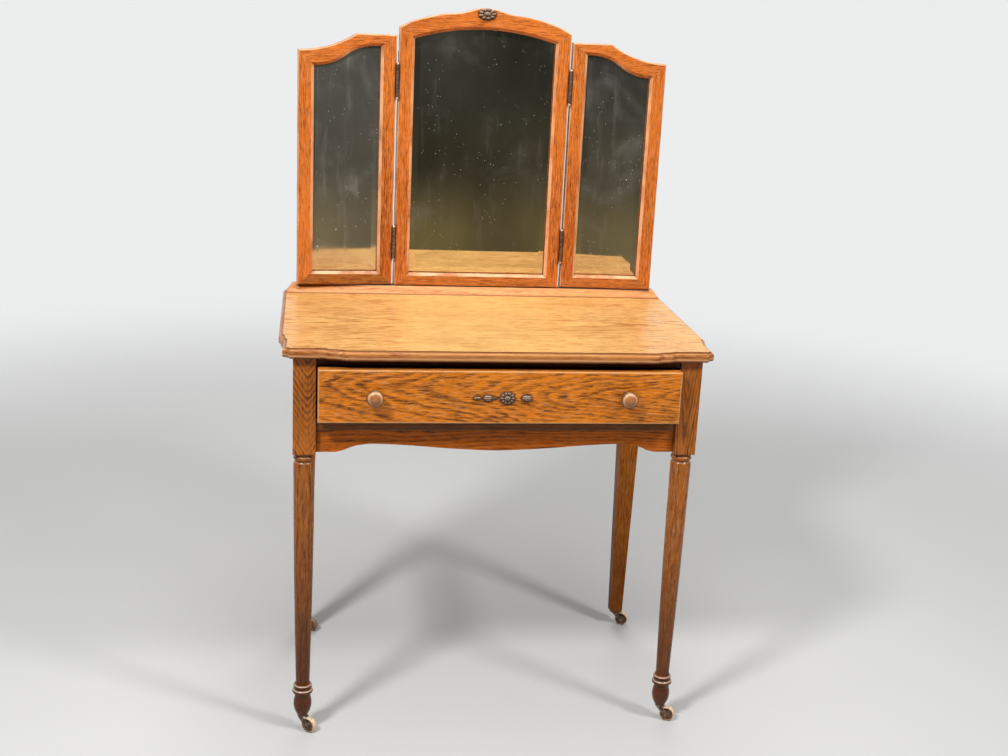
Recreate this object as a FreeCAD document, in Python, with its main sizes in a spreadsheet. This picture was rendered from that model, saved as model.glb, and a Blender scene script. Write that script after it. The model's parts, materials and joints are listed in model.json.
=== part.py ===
# Oak dressing table with one drawer, turned front legs on casters and a triple folding mirror.
# X runs to the right, Y to the back and Z up. The floor is at Z zero, and the origin is in the
# middle of the footprint, from the tips of the knobs to the backs of the mirror posts.
import FreeCAD, Part
import math
import os
import Sketcher
from FreeCAD import Placement, Rotation, Vector

doc = FreeCAD.newDocument("DressingTable")

# Driving dimensions in millimetres, and angles in degrees.
SIZES = {
    # table as a whole
    "table_height": 762.0,
    "table_depth": 460.0,
    "leg_setback": 27.0,
    # table top
    "top_thick": 19.0,
    "top_half": 397.5,
    "corner_setback": 8.5,
    "top_overhang": 26.5,
    "corner_overhang": 14.0,
    "front_ogee_inset": 82.5,
    "front_ogee_long": 35.0,
    "side_ogee_start": 90.0,
    "side_ogee_end": 52.0,
    "top_corner_radius": 12.0,
    "mould_wide": 7.5,
    "mould_step": 2.0,
    "mould_radius": 7.0,
    "under_radius": 4.0,
    # plinth under the mirror
    "plinth_setback": 7.3,
    "plinth_deep": 35.2,
    "plinth_high": 15.7,
    "plinth_bevel": 11.7,
    # legs
    "front_square": 41.0,
    "rear_square": 44.0,
    "rear_foot_square": 26.4,
    "block_high": 182.0,
    "leg_bottom": 33.4,
    "leg_bore_spare": 2.0,
    "block_ease": 1.2,
    "leg_groove": 5.0,
    "leg_groove_radius": 16.5,
    "leg_bead_high": 8.6,
    "leg_bead_radius": 19.7,
    "leg_quirk": 2.4,
    "shaft_radius": 19.3,
    "shaft_shoulder": 8.0,
    "shaft_foot_radius": 12.9,
    "shaft_swell": 1.1,
    "foot_high": 69.6,
    "foot_radius": 19.9,
    # rails and apron
    "rail_recess": 4.5,
    "side_recess": 6.0,
    "rail_thick": 19.0,
    "rail_drop": 178.0,
    "top_rail_high": 14.5,
    "front_rail_deep": 52.0,
    "drawer_opening_high": 99.5,
    "bottom_rail_high": 21.5,
    "apron_recess": 11.0,
    "apron_thick": 18.0,
    "apron_end_high": 43.7,
    "apron_peak": 15.5,
    "apron_belly": 2.5,
    "runner_reach": 25.0,
    "runner_high": 20.0,
    "guide_high": 15.0,
    "guide_gap": 0.5,
    "glue_block": 22.0,
    "glue_block_long": 60.0,
    "glue_block_space": 190.0,
    # drawer
    "drawer_proud": 26.0,
    "drawer_side_gap": 2.3,
    "drawer_top_gap": 1.0,
    "drawer_front_lift": 1.3,
    "drawer_run_gap": 0.3,
    "drawer_stop_gap": 0.5,
    "drawer_front_thick": 20.0,
    "drawer_side_thick": 10.0,
    "drawer_side_inset": 1.0,
    "drawer_side_drop": 3.0,
    "drawer_back_thick": 10.0,
    "drawer_back_drop": 8.0,
    "drawer_back_set": 10.0,
    "drawer_bottom_thick": 6.0,
    "drawer_bottom_up": 8.0,
    "drawer_groove": 5.0,
    # knobs
    "knob_inset": 99.7,
    "knob_drop": 46.5,
    "knob_radius": 15.6,
    "knob_long": 27.0,
    "knob_screw_radius": 2.4,
    "knob_screw_grip": 14.0,
    "knob_bore_spare": 1.0,
    "knob_screw_head": 5.0,
    # carving on the drawer front
    "carving_offset": 8.0,
    "carving_drop": 49.5,
    "carving_proud": 5.5,
    "rosette_long": 26.0,
    "rosette_high": 22.0,
    "bud_near": 26.0,
    "bud_long": 18.0,
    "bud_high": 12.5,
    "tail_near": 16.8,
    "tail_long": 14.0,
    "tail_high": 5.0,
    "bead_far": 54.3,
    "bead_long": 12.6,
    "bead_high": 6.4,
    # mirrors
    "frame_thick": 22.0,
    "frame_lip": 10.0,
    "glass_thick": 4.0,
    "stile_wide": 31.0,
    "rebate_wide": 8.0,
    "pane_gap": 0.3,
    "sight_bevel": 5.5,
    "edge_round": 3.0,
    "center_half": 172.4,
    "center_rail_wide": 27.3,
    "center_high": 519.8,
    "center_corner_wide": 20.5,
    "center_sight_arch": 22.4,
    "crest_shoulder": 60.0,
    "crest_shoulder_rise": 31.3,
    "crest_flank": 28.0,
    "crest_flank_rise": 38.8,
    "crest_arch": 6.6,
    "crest_hollow": 0.9,
    "crest_crown": 4.4,
    "crest_rosette_long": 36.0,
    "crest_rosette_high": 23.0,
    "crest_rosette_drop": 11.3,
    "hinge_gap": 4.0,
    "wing_setback": 1.1,
    "wing_lift": 1.8,
    "wing_rail_wide": 27.5,
    "wing_top_rail_wide": 22.5,
    "wing_high": 502.1,
    "scroll_corner": 6.0,
    "left_wing_angle": 4.6,
    "right_wing_angle": 1.9,
    # mirror posts
    "post_thick": 19.0,
    "post_wide": 30.0,
    "post_foot_up": 20.0,
    "post_top_drop": 47.5,
    "post_screw_radius": 2.2,
    "post_screw_grip": 12.0,
    "post_screw_head": 4.2,
    "post_screw_upper": 352.3,
    "post_screw_lower": 152.3,
    "rail_screw_space": 44.0,
    # hinges
    "hinge_long": 63.0,
    "hinge_drop": 88.6,
    "hinge_rise": 89.3,
    "barrel_radius": 3.0,
    "pin_radius": 1.5,
    "pin_clearance": 0.05,
    "pin_tip_radius": 2.9,
    "leaf_thick": 1.6,
    "leaf_wide": 17.0,
    "leaf_start": 3.3,
    "knuckle_gap": 0.3,
    "hinge_screw_radius": 1.5,
    "hinge_screw_long": 14.0,
    "hinge_screw_head": 2.8,
    "hinge_screw_space": 22.0,
    # casters
    "caster_trail": 16.0,
    "wheel_radius": 14.5,
    "wheel_wide": 11.0,
    "wheel_round": 2.2,
    "wheel_side_gap": 0.6,
    "axle_radius": 2.0,
    "axle_clearance": 0.05,
    "fork_thick": 2.0,
    "fork_foot_radius": 5.0,
    "rivet_proud": 0.5,
    "crown_radius": 9.0,
    "crown_thick": 2.5,
    "crown_gap": 0.3,
    "stem_radius": 3.5,
    "stem_clearance": 0.05,
    "stem_long": 24.0,
    "socket_radius": 5.5,
    "socket_flange": 1.0,
    "socket_flange_radius": 8.5,
    "trail_front_left": 38.0,
    "trail_front_right": 26.0,
    "trail_rear_left": 30.0,
    "trail_rear_right": 22.0,
    # one overrun for every cut
    "overrun": 2.0,
}

sheet = doc.addObject("Spreadsheet::Sheet", "Sizes")
for row, (alias, number) in enumerate(SIZES.items(), 1):
    sheet.set("A%d" % row, alias)
    sheet.set("B%d" % row, str(number))
    sheet.setAlias("B%d" % row, alias)
doc.recompute()


class Size:
    """A dimension that knows its value and the expression that works it out from the sheet."""

    def __init__(self, value, text):
        self.value = float(value)
        self.text = text

    def __float__(self):
        return self.value

    def __add__(self, other):
        other = as_size(other)
        return Size(self.value + other.value, "(%s + %s)" % (self.text, other.text))

    def __sub__(self, other):
        other = as_size(other)
        return Size(self.value - other.value, "(%s - %s)" % (self.text, other.text))

    def __mul__(self, other):
        other = as_size(other)
        return Size(self.value * other.value, "%s * %s" % (self.text, other.text))

    def __truediv__(self, other):
        other = as_size(other)
        return Size(self.value / other.value, "%s / (%s)" % (self.text, other.text))

    def __neg__(self):
        return Size(-self.value, "(0 - %s)" % self.text)

    def __radd__(self, other):
        return as_size(other) + self

    def __rsub__(self, other):
        return as_size(other) - self

    def __rmul__(self, other):
        return as_size(other) * self


def as_size(number):
    if isinstance(number, Size):
        return number
    return Size(number, "(%r)" % float(number))


def root(size):
    return Size(math.sqrt(size.value), "sqrt(%s)" % size.text)


def cell(alias):
    return Size(sheet.get(alias), "Sizes.%s" % alias)


def bind(thing, prop, size):
    """Set one property of an object from the sheet."""
    thing.setExpression(prop, as_size(size).text)


def place(thing, spot, axis=None, angle=None):
    """Place an object at a spot, turned about an axis by a size in degrees or a plain right angle."""
    if angle is not None:
        thing.Placement = Placement(Vector(), Rotation(axis, float(angle)))
        if isinstance(angle, Size):
            bind(thing, "Placement.Rotation.Angle", angle)
    for letter, size in zip("xyz", spot):
        bind(thing, "Placement.Base.%s" % letter, size)
    return thing


# Places that several pieces share.
SIDES = ((-1, "left"), (1, "right"))
RIGHT_ANGLE = 90.0
FULL_TURN = 360.0
HALF_ROOT = math.sqrt(0.5)
TINY = 1e-9
NEAR = 1e-3
UP = Vector(0, 0, 1)
DOWN = Vector(0, 0, -1)
ALONG_X = Vector(1, 0, 0)
ALONG_Y = Vector(0, 1, 0)
ORIGIN = (0, 0, 0)

front_reach = cell("drawer_proud") + cell("knob_long")
total_depth = front_reach + cell("table_depth") + cell("post_thick")
leg_face = front_reach - total_depth / 2
back_plane = leg_face + cell("table_depth")
apron_face = leg_face + cell("apron_recess")
top_under = cell("table_height") - cell("top_thick")
plinth_top = cell("table_height") + cell("plinth_high")
leg_half_span = cell("top_half") - cell("leg_setback")
leg_inner = leg_half_span - cell("front_square")
rear_inner = leg_half_span - cell("rear_square")
side_outer = leg_half_span - cell("side_recess")
side_inner = side_outer - cell("rail_thick")
rail_bottom = top_under - cell("rail_drop")
block_bottom = top_under - cell("block_high")
rear_leg_face = back_plane - cell("rear_square")
top_rail_bottom = top_under - cell("top_rail_high")
bottom_rail_top = top_rail_bottom - cell("drawer_opening_high")
bottom_rail_low = bottom_rail_top - cell("bottom_rail_high")
mirror_face = back_plane - cell("frame_thick")
hinge_x = cell("center_half") + cell("hinge_gap") / 2
hinge_y = mirror_face - cell("hinge_gap") / 2
center_corner = plinth_top + cell("center_high")
wing_low = plinth_top + cell("wing_lift")
wing_top = wing_low + cell("wing_high")
wing_wide = leg_half_span - cell("wing_setback") - cell("center_half") - cell("hinge_gap")
drawer_face = leg_face - cell("drawer_proud")
overrun = cell("overrun")


def box(name, low, high):
    """A board or block between two corners."""
    board = doc.addObject("Part::Box", name)
    bind(board, "Length", as_size(high[0]) - low[0])
    bind(board, "Width", as_size(high[1]) - low[1])
    bind(board, "Height", as_size(high[2]) - low[2])
    return place(board, low)


def cylinder(name, radius, length, spot, axis=None, angle=None):
    rod = doc.addObject("Part::Cylinder", name)
    bind(rod, "Radius", radius)
    bind(rod, "Height", length)
    return place(rod, spot, axis, angle)


def cone(name, low_radius, high_radius, length, spot, axis=None, angle=None):
    taper = doc.addObject("Part::Cone", name)
    bind(taper, "Radius1", low_radius)
    bind(taper, "Radius2", high_radius)
    bind(taper, "Height", length)
    return place(taper, spot, axis, angle)


def sphere(name, radius, spot):
    ball = doc.addObject("Part::Sphere", name)
    bind(ball, "Radius", radius)
    return place(ball, spot)


def fuse(name, pieces):
    joined = doc.addObject("Part::MultiFuse", name)
    joined.Shapes = pieces
    joined.Refine = True
    return joined


def cut(name, base, tool):
    result = doc.addObject("Part::Cut", name)
    result.Base = base
    result.Tool = tool
    return result


def group(name, pieces):
    """Several like pieces that share one node."""
    bundle = doc.addObject("Part::Compound", name)
    bundle.Links = pieces
    return bundle


# Sketches are closed outlines. A corner is (x, y) or (x, y, bulge), where bulge is the rise of
# the arc that leaves the corner, to the left of its chord.
def origin_plane(body, role):
    for feature in body.Origin.OriginFeatures:
        if feature.Role == role:
            return feature
    raise ValueError("no plane " + role)


def numbers(corner):
    return Vector(float(corner[0]), float(corner[1]), 0)


def bulge_of(corner):
    return as_size(corner[2]) if len(corner) > 2 else as_size(0)


def arc_between(start, end, rise):
    """The circle arc from start to end with a signed rise, and its ends in turning order."""
    chord = end - start
    left = Vector(-chord.y, chord.x, 0).normalize()
    radius = (chord.Length ** 2 / 4 + rise ** 2) / (2 * rise)
    center = (start + end) / 2 + left * (rise - radius)
    first, last = (end, start) if rise > 0 else (start, end)
    low = math.atan2(first.y - center.y, first.x - center.x)
    high = math.atan2(last.y - center.y, last.x - center.x)
    if high < low:
        high += 2 * math.pi
    circle = Part.Circle(center, UP, abs(radius))
    return Part.ArcOfCircle(circle, low, high), rise > 0


def arc_center(start, end, rise):
    """The coordinate of an arc's centre that its chord leaves best defined."""
    wide = as_size(end[0]) - start[0]
    high = as_size(end[1]) - start[1]
    square = wide * wide + high * high
    back = (4 * rise * rise - square) / (8 * rise * root(square))
    if abs(high.value) > abs(wide.value):
        return "DistanceX", -2, (as_size(start[0]) + end[0]) / 2 - high * back
    return "DistanceY", -1, (as_size(start[1]) + end[1]) / 2 + wide * back


def draw(sketch, outline):
    """Draw a closed outline and tie every corner and arc to the sheet."""
    first = sketch.GeometryCount
    count = len(outline)
    edges = []
    ends = []
    for index, corner in enumerate(outline):
        start = numbers(corner)
        end = numbers(outline[(index + 1) % count])
        rise = float(bulge_of(corner))
        if abs(rise) < TINY:
            edges.append(Part.LineSegment(start, end))
            ends.append((1, 2))
        else:
            arc, swapped = arc_between(start, end, rise)
            edges.append(arc)
            ends.append((2, 1) if swapped else (1, 2))
    sketch.addGeometry(edges, False)
    rules = []
    ties = []
    for index, corner in enumerate(outline):
        here = first + index
        before = first + (index - 1) % count
        rules.append(Sketcher.Constraint("Coincident", before, ends[index - 1][1], here, ends[index][0]))
        for kind, axis, size in (("DistanceX", -2, corner[0]), ("DistanceY", -1, corner[1])):
            size = as_size(size)
            if abs(size.value) < TINY:
                rules.append(Sketcher.Constraint("PointOnObject", here, ends[index][0], axis))
            else:
                ties.append((len(rules), size))
                rules.append(Sketcher.Constraint(kind, -1, 1, here, ends[index][0], size.value))
        rise = bulge_of(corner)
        if abs(rise.value) >= TINY:
            kind, axis, size = arc_center(corner, outline[(index + 1) % count], rise)
            if abs(size.value) < TINY:
                rules.append(Sketcher.Constraint("PointOnObject", here, 3, axis))
            else:
                ties.append((len(rules), size))
                rules.append(Sketcher.Constraint(kind, -1, 1, here, 3, size.value))
    base = sketch.ConstraintCount
    sketch.addConstraint(rules)
    for index, size in ties:
        sketch.setExpression("Constraints[%d]" % (base + index), size.text)


def sketch_in(body, role, outlines, offset=None):
    sketch = body.newObject("Sketcher::SketchObject", body.Name + "Sketch")
    sketch.AttachmentSupport = [(origin_plane(body, role), "")]
    sketch.MapMode = "FlatFace"
    if offset is not None:
        bind(sketch, "AttachmentOffset.Base.z", offset)
    for outline in outlines:
        draw(sketch, outline)
    return sketch


def new_body(name):
    return doc.addObject("PartDesign::Body", name)


def pad(body, role, outlines, length, backward=False, offset=None, midplane=False):
    feature = body.newObject("PartDesign::Pad", body.Name + "Pad")
    feature.Profile = sketch_in(body, role, outlines, offset)
    bind(feature, "Length", length)
    feature.Reversed = backward
    if midplane:
        feature.SideType = "Symmetric"
    doc.recompute()
    return feature


def pocket(body, role, outlines, length, backward=False, offset=None, midplane=False):
    before = body.Shape.Volume
    feature = body.newObject("PartDesign::Pocket", body.Name + "Pocket")
    feature.Profile = sketch_in(body, role, outlines, offset)
    bind(feature, "Length", length)
    feature.Reversed = backward
    if midplane:
        feature.SideType = "Symmetric"
    doc.recompute()
    if not body.Shape.Volume < before:
        raise RuntimeError("a cut in %s removes nothing" % body.Name)
    return feature


def revolve(body, role, outline, about):
    feature = body.newObject("PartDesign::Revolution", body.Name + "Turning")
    sketch = sketch_in(body, role, [outline])
    feature.Profile = sketch
    feature.ReferenceAxis = (sketch, [about])
    feature.Angle = FULL_TURN
    doc.recompute()
    return feature


def dress(body, kind, base, wanted, prop, size):
    """Round or bevel the edges that a test picks."""
    names = []
    for index, edge in enumerate(base.Shape.Edges, 1):
        if wanted(edge):
            names.append("Edge%d" % index)
    if not names:
        raise RuntimeError("no edge to dress in %s" % body.Name)
    feature = body.newObject("PartDesign::" + kind, body.Name + kind)
    feature.Base = (base, names)
    bind(feature, prop, size)
    doc.recompute()
    return feature


def rectangle(left, low, right, high):
    return [(left, low), (right, low), (right, high), (left, high)]


# Table top: a board with small ogee breaks near its front corners and a thumb moulding.
QUARTER_RISE_SHARE = 1 - HALF_ROOT
OGEE_RISE_SHARE = 0.125


def ogee(start, end, depth, turn):
    """Two equal arcs that carry an edge over a small step."""
    rise = depth * OGEE_RISE_SHARE * turn
    middle = ((as_size(start[0]) + end[0]) / 2, (as_size(start[1]) + end[1]) / 2)
    return [(start[0], start[1], rise), (middle[0], middle[1], -rise), end]


def half_top(side, inset):
    """The outline of one half of the top, from the back corner to the middle stretch of the front."""
    across = cell("top_half") - inset
    corner = across - cell("corner_setback")
    front = inset - cell("top_overhang")
    corner_front = inset - cell("corner_overhang")
    radius = cell("top_corner_radius") - inset
    front_step = cell("top_overhang") - cell("corner_overhang")
    break_out = cell("top_half") - cell("front_ogee_inset")
    break_in = break_out - cell("front_ogee_long")
    points = [(side * across, cell("table_depth"))]
    points += ogee((side * across, cell("side_ogee_start")),
                   (side * corner, cell("side_ogee_end")), cell("corner_setback"), -side)
    points += [(side * corner, corner_front + radius, -side * radius * QUARTER_RISE_SHARE)]
    points += [(side * (corner - radius), corner_front)]
    points += ogee((side * break_out, corner_front), (side * break_in, front), front_step, side)
    return points


def mirrored_outline(right_half):
    """Close an outline from its right half, listed from its first to its last corner."""
    left = []
    for index in range(len(right_half) - 1, -1, -1):
        corner = right_half[index]
        rise = bulge_of(right_half[index - 1]) if index > 0 else as_size(0)
        left.append((-as_size(corner[0]), corner[1], rise))
    return list(right_half) + left


def make_table_top():
    body = new_body("table_top")
    board = cell("top_thick") - cell("mould_step")
    slab = pad(body, "XY_Plane", [mirrored_outline(half_top(1, as_size(0)))], board)
    high = float(board)
    back = float(cell("table_depth"))

    def outer_edge(level):
        def wanted(edge):
            box_of = edge.BoundBox
            flat = abs(box_of.ZMax - level) < NEAR and abs(box_of.ZMin - level) < NEAR
            return flat and box_of.YMin < back - NEAR
        return wanted

    nose = dress(body, "Fillet", slab, outer_edge(high), "Radius", cell("mould_radius"))
    dress(body, "Fillet", nose, outer_edge(0.0), "Radius", cell("under_radius"))
    pad(body, "XY_Plane", [mirrored_outline(half_top(1, cell("mould_wide")))], cell("top_thick"))
    return place(body, (0, leg_face, top_under))


def make_plinth():
    """The bevelled board that the mirrors stand on, at the back of the top."""
    board = doc.addObject("Part::Wedge", "mirror_plinth")
    half = cell("top_half") - cell("plinth_setback")
    top_half = half - cell("plinth_bevel")
    bind(board, "Xmin", -half)
    bind(board, "Xmax", half)
    bind(board, "X2min", -top_half)
    bind(board, "X2max", top_half)
    bind(board, "Ymin", 0)
    bind(board, "Ymax", cell("plinth_high"))
    bind(board, "Zmin", 0)
    bind(board, "Zmax", cell("plinth_deep"))
    bind(board, "Z2min", 0)
    bind(board, "Z2max", cell("plinth_deep") - cell("plinth_bevel"))
    return place(board, (0, back_plane, cell("table_height")), ALONG_X, RIGHT_ANGLE)


# Turned foot, from the flare above the rings down to the ball: each row is a height as a share
# of the foot, a radius as a share of the ring and the rise of the arc below it, as a share of the ring.
FOOT_SHARES = [
    (0.922, 0.74, 0.0),
    (0.915, 0.78, 0.10),
    (0.830, 0.78, 0.0),
    (0.815, 0.74, 0.0),
    (0.795, 0.74, 0.0),
    (0.785, 0.80, 0.18),
    (0.645, 0.80, 0.0),
    (0.625, 0.76, 0.0),
    (0.550, 0.74, 0.0),
    (0.520, 0.76, 0.16),
    (0.060, 0.62, 0.03),
    (0.000, 0.46, 0.0),
]
SHOULDER_RISE_SHARE = 0.125


def leg_turning():
    """The turned part of a front leg as radius and height, with the bore for the caster socket."""
    ring = cell("foot_radius")
    foot = cell("foot_high")
    bottom = cell("leg_bottom")
    bore = cell("socket_radius")
    bore_top = bottom + cell("stem_long") + cell("leg_bore_spare")
    groove = cell("leg_groove_radius")
    bead_top = block_bottom - cell("leg_groove")
    bead_low = bead_top - cell("leg_bead_high")
    quirk_low = bead_low - cell("leg_quirk")
    shoulder = quirk_low - cell("shaft_shoulder")
    points = [(bore, bottom)]
    for index in range(len(FOOT_SHARES) - 1, -1, -1):
        high_share, wide_share, _ = FOOT_SHARES[index]
        rise_share = FOOT_SHARES[index - 1][2] if index > 0 else 0.0
        points.append((ring * wide_share, bottom + foot * high_share, -ring * rise_share))
    points.append((cell("shaft_foot_radius"), bottom + foot, -cell("shaft_swell")))
    points.append((cell("shaft_radius"), shoulder, -cell("shaft_shoulder") * SHOULDER_RISE_SHARE))
    points.append((groove, quirk_low))
    points.append((groove, bead_low, -cell("leg_bead_radius") + groove))
    points.append((groove, bead_top))
    points.append((groove, block_bottom + overrun))
    points.append((0, block_bottom + overrun))
    points.append((0, bore_top))
    points.append((bore, bore_top))
    return points


def make_front_leg(name, side):
    body = new_body(name)
    half = cell("front_square") / 2
    block = pad(body, "XY_Plane", [rectangle(-half, -half, half, half)],
                cell("block_high"), offset=block_bottom)
    level = float(block_bottom)

    def lower_or_upright(edge):
        box_of = edge.BoundBox
        upright = box_of.ZLength > NEAR
        return upright or abs(box_of.ZMax - level) < NEAR

    dress(body, "Chamfer", block, lower_or_upright, "Size", cell("block_ease"))
    revolve(body, "XZ_Plane", leg_turning(), "V_Axis")
    return place(body, (side * (leg_half_span - half), leg_face + half, 0))


def make_rear_leg(name, side):
    """A square leg that tapers on all four sides below the rails."""
    square = cell("rear_square")
    foot = cell("rear_foot_square")
    bottom = cell("leg_bottom")
    taper_high = block_bottom - bottom
    inset = (square - foot) / 2
    block = box(name + "_block", (0, 0, block_bottom), (square, square, top_under))
    taper = doc.addObject("Part::Wedge", name + "_taper")
    bind(taper, "Xmin", inset)
    bind(taper, "Xmax", inset + foot)
    bind(taper, "Zmin", inset)
    bind(taper, "Zmax", inset + foot)
    bind(taper, "X2min", 0)
    bind(taper, "X2max", square)
    bind(taper, "Z2min", 0)
    bind(taper, "Z2max", square)
    bind(taper, "Ymin", 0)
    bind(taper, "Ymax", taper_high)
    place(taper, (0, square, bottom), ALONG_X, RIGHT_ANGLE)
    post = fuse(name + "_post", [block, taper])
    bore = cylinder(name + "_bore", cell("socket_radius"),
                    overrun + cell("stem_long") + cell("leg_bore_spare"),
                    (square / 2, square / 2, bottom - overrun))
    leg = cut(name, post, bore)
    left = leg_half_span - square if side > 0 else -leg_half_span
    return place(leg, (left, rear_leg_face, 0))


# Rails, apron and the pieces that carry the drawer.
def make_rails():
    face = leg_face + cell("rail_recess")
    rear = face + cell("front_rail_deep")
    front_leg_back = leg_face + cell("front_square")
    nodes = []
    for name, left in (("side_rail_left", -side_outer), ("side_rail_right", side_inner)):
        nodes.append(box(name, (left, front_leg_back, rail_bottom),
                         (left + cell("rail_thick"), rear_leg_face, top_under)))
    nodes.append(box("drawer_top_rail", (-leg_inner, face, top_rail_bottom), (leg_inner, rear, top_under)))
    nodes.append(box("drawer_bottom_rail", (-leg_inner, face, bottom_rail_low),
                     (leg_inner, rear, bottom_rail_top)))
    runners = []
    kickers = []
    for side, word in SIDES:
        inner = leg_inner - cell("runner_reach")
        guide = leg_inner - cell("drawer_side_gap") - cell("drawer_side_inset") + cell("guide_gap")
        low = bottom_rail_top - cell("runner_high")
        shelf = slab_beside(side, "runner_shelf_" + word, inner, side_inner, rear, rear_leg_face, low,
                            bottom_rail_top)
        fence = slab_beside(side, "runner_guide_" + word, guide, side_inner, rear, rear_leg_face,
                            bottom_rail_top, bottom_rail_top + cell("guide_high"))
        runners.append(fuse("runner_" + word, [shelf, fence]))
        kickers.append(slab_beside(side, "kicker_" + word, inner, side_inner, rear, rear_leg_face,
                                   top_rail_bottom, top_under))
    nodes.append(group("drawer_runners", runners))
    nodes.append(group("drawer_kickers", kickers))
    return nodes


def slab_beside(side, name, inner, outer, front, rear, low, high):
    """A strip on the left or the right side, between an inner and an outer distance from the middle."""
    left, right = (inner, outer) if side > 0 else (-outer, -inner)
    return box(name, (left, front, low), (right, rear, high))


# Lower edge of the apron from its end to its middle: distance from the middle as a share of the
# half length, height as a share of the peak and the rise of the next arc as a share of the peak.
APRON_SHARES = [
    (0.898, 0.00, 0.07),
    (0.826, 0.45, -0.07),
    (0.753, 0.88, -0.05),
    (0.674, 1.00, -0.06),
    (0.340, 0.54, 0.05),
]


def make_front_apron():
    body = new_body("front_apron")
    half = leg_inner
    end = bottom_rail_low - cell("apron_end_high")
    peak = cell("apron_peak")
    right = [(half, bottom_rail_low), (half, end)]
    for across, up, rise in APRON_SHARES:
        right.append((half * across, end + peak * up, peak * rise))
    middle = (0, end + cell("apron_belly"), 0)
    left = mirrored_outline(right)[len(right):]
    turned = peak * APRON_SHARES[-1][2]
    outline = right + [(middle[0], middle[1], turned)] + left
    pad(body, "XZ_Plane", [outline], cell("apron_thick"), backward=True)
    return place(body, (0, apron_face, 0))


def make_glue_blocks():
    """Blocks glued in the angle under the top behind the back rail, and behind the apron."""
    blocks = []
    wide = cell("glue_block")
    half = cell("glue_block_long") / 2
    apron_back = apron_face + cell("apron_thick")
    rail_face = back_plane - cell("rail_thick")
    for step, word in ((-1, "left"), (0, "middle"), (1, "right")):
        middle = cell("glue_block_space") * step
        blocks.append(box("rear_block_" + word, (middle - half, rail_face - wide, top_under - wide),
                          (middle + half, rail_face, top_under)))
        blocks.append(box("apron_block_" + word, (middle - half, apron_back, bottom_rail_low - wide),
                          (middle + half, apron_back + wide, bottom_rail_low)))
    return group("glue_blocks", blocks)


def screw(name, radius, length, head_radius, head_deep, spot, axis, angle):
    """A countersunk screw that runs from its head along one axis."""
    head = cone(name + "_head", head_radius, radius, head_deep, ORIGIN)
    shank = cylinder(name + "_shank", radius, length - head_deep, (0, 0, head_deep))
    return place(fuse(name, [head, shank]), spot, axis, angle)


# Mirror posts: two battens on the back of the table that hold the middle mirror.
def make_posts():
    posts = []
    screws = []
    thick = cell("post_thick")
    outer = cell("center_half")
    inner = outer - cell("post_wide")
    middle = (outer + inner) / 2
    reach = thick + cell("post_screw_grip")
    radius = cell("post_screw_radius")
    head = cell("post_screw_head")
    rail_mid = (rail_bottom + top_under) / 2
    rail_step = cell("rail_screw_space") / 2
    levels = (rail_mid - rail_step, rail_mid + rail_step, plinth_top + cell("post_screw_lower"),
              plinth_top + cell("post_screw_upper"))
    for side, word in SIDES:
        left = inner if side > 0 else -outer
        posts.append(box("post_" + word, (left, back_plane, rail_bottom + cell("post_foot_up")),
                         (left + cell("post_wide"), back_plane + thick, center_corner - cell("post_top_drop"))))
        for index, level in enumerate(levels, 1):
            screws.append(screw("post_screw_%s_%d" % (word, index), radius, reach, head, head - radius,
                                (side * middle, back_plane + thick, level), ALONG_X, RIGHT_ANGLE))
    pair = group("mirror_post_pair", posts)
    fixings = group("post_screws", screws)
    rail_board = box("back_rail_board", (-rear_inner, back_plane - cell("rail_thick"), rail_bottom),
                     (rear_inner, back_plane, top_under))
    return fixings, cut("mirror_posts", pair, fixings), cut("back_rail", rail_board, fixings)


# Mirror frames: each band of a frame lies between its sight edge, share 0, and its outer edge, share 1.
REBATE_SHARE = cell("rebate_wide") / cell("stile_wide")
PANE_SHARE = (cell("rebate_wide") - cell("pane_gap")) / cell("stile_wide")


def blend(sight, outer, share):
    return as_size(sight) + (as_size(outer) - sight) * share


def blend_points(sight, outer, share):
    points = []
    for near, far in zip(sight, outer):
        points.append(tuple(blend(a, b, share) for a, b in zip(near, far)))
    return points


def center_corners(share):
    half = cell("center_half")
    wide = cell("stile_wide")
    x = blend(half - wide, half, share)
    low = blend(plinth_top + cell("center_rail_wide"), plinth_top, share)
    high = blend(center_corner - cell("center_corner_wide"), center_corner, share)
    return {"low_left": (-x, low), "low_right": (x, low), "top_right": (x, high), "top_left": (-x, high)}


def center_arch(share):
    """The top of the middle opening, from its right corner to its left."""
    corners = center_corners(share)
    steep = cell("stile_wide") - cell("center_corner_wide")
    rise = cell("center_sight_arch") + steep * share
    return [corners["top_right"] + (-rise,), corners["top_left"]]


def crest_line():
    """The outer edge of the crest rail, from the left corner to the right."""
    half = cell("center_half")
    shoulder = (cell("crest_shoulder"), center_corner + cell("crest_shoulder_rise"))
    flank = (cell("crest_flank"), center_corner + cell("crest_flank_rise"))
    return [
        (-half, center_corner, cell("crest_arch")),
        (-shoulder[0], shoulder[1], -cell("crest_hollow")),
        (-flank[0], flank[1], cell("crest_crown")),
        (flank[0], flank[1], -cell("crest_hollow")),
        (shoulder[0], shoulder[1], cell("crest_arch")),
        (half, center_corner),
    ]


def run_of_bends(start, bends, turns, reach):
    """A path of tangent bends that starts level and ends with a straight run to a distance."""
    x, y = start
    heading = 0.0
    points = []
    for radius, turn in zip(bends, turns):
        after = heading + turn
        sense = 1 if turn > 0 else -1
        points.append((x, y, -radius * (sense * (1 - math.cos(turn / 2)))))
        x = x + radius * (sense * (math.sin(after) - math.sin(heading)))
        y = y - radius * (sense * (math.cos(after) - math.cos(heading)))
        heading = after
    points.append((x, y, 0))
    points.append((reach, y + (reach - x) * math.tan(heading)))
    return points


# The scrolled top of a wing falls from its shelf round one bend, and levels out in a hollow.
SIGHT_TURNS = tuple(math.radians(turn) for turn in (-37.0, 34.0))
SCROLL_TURNS = tuple(math.radians(turn) for turn in (-33.0, 32.0))
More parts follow.
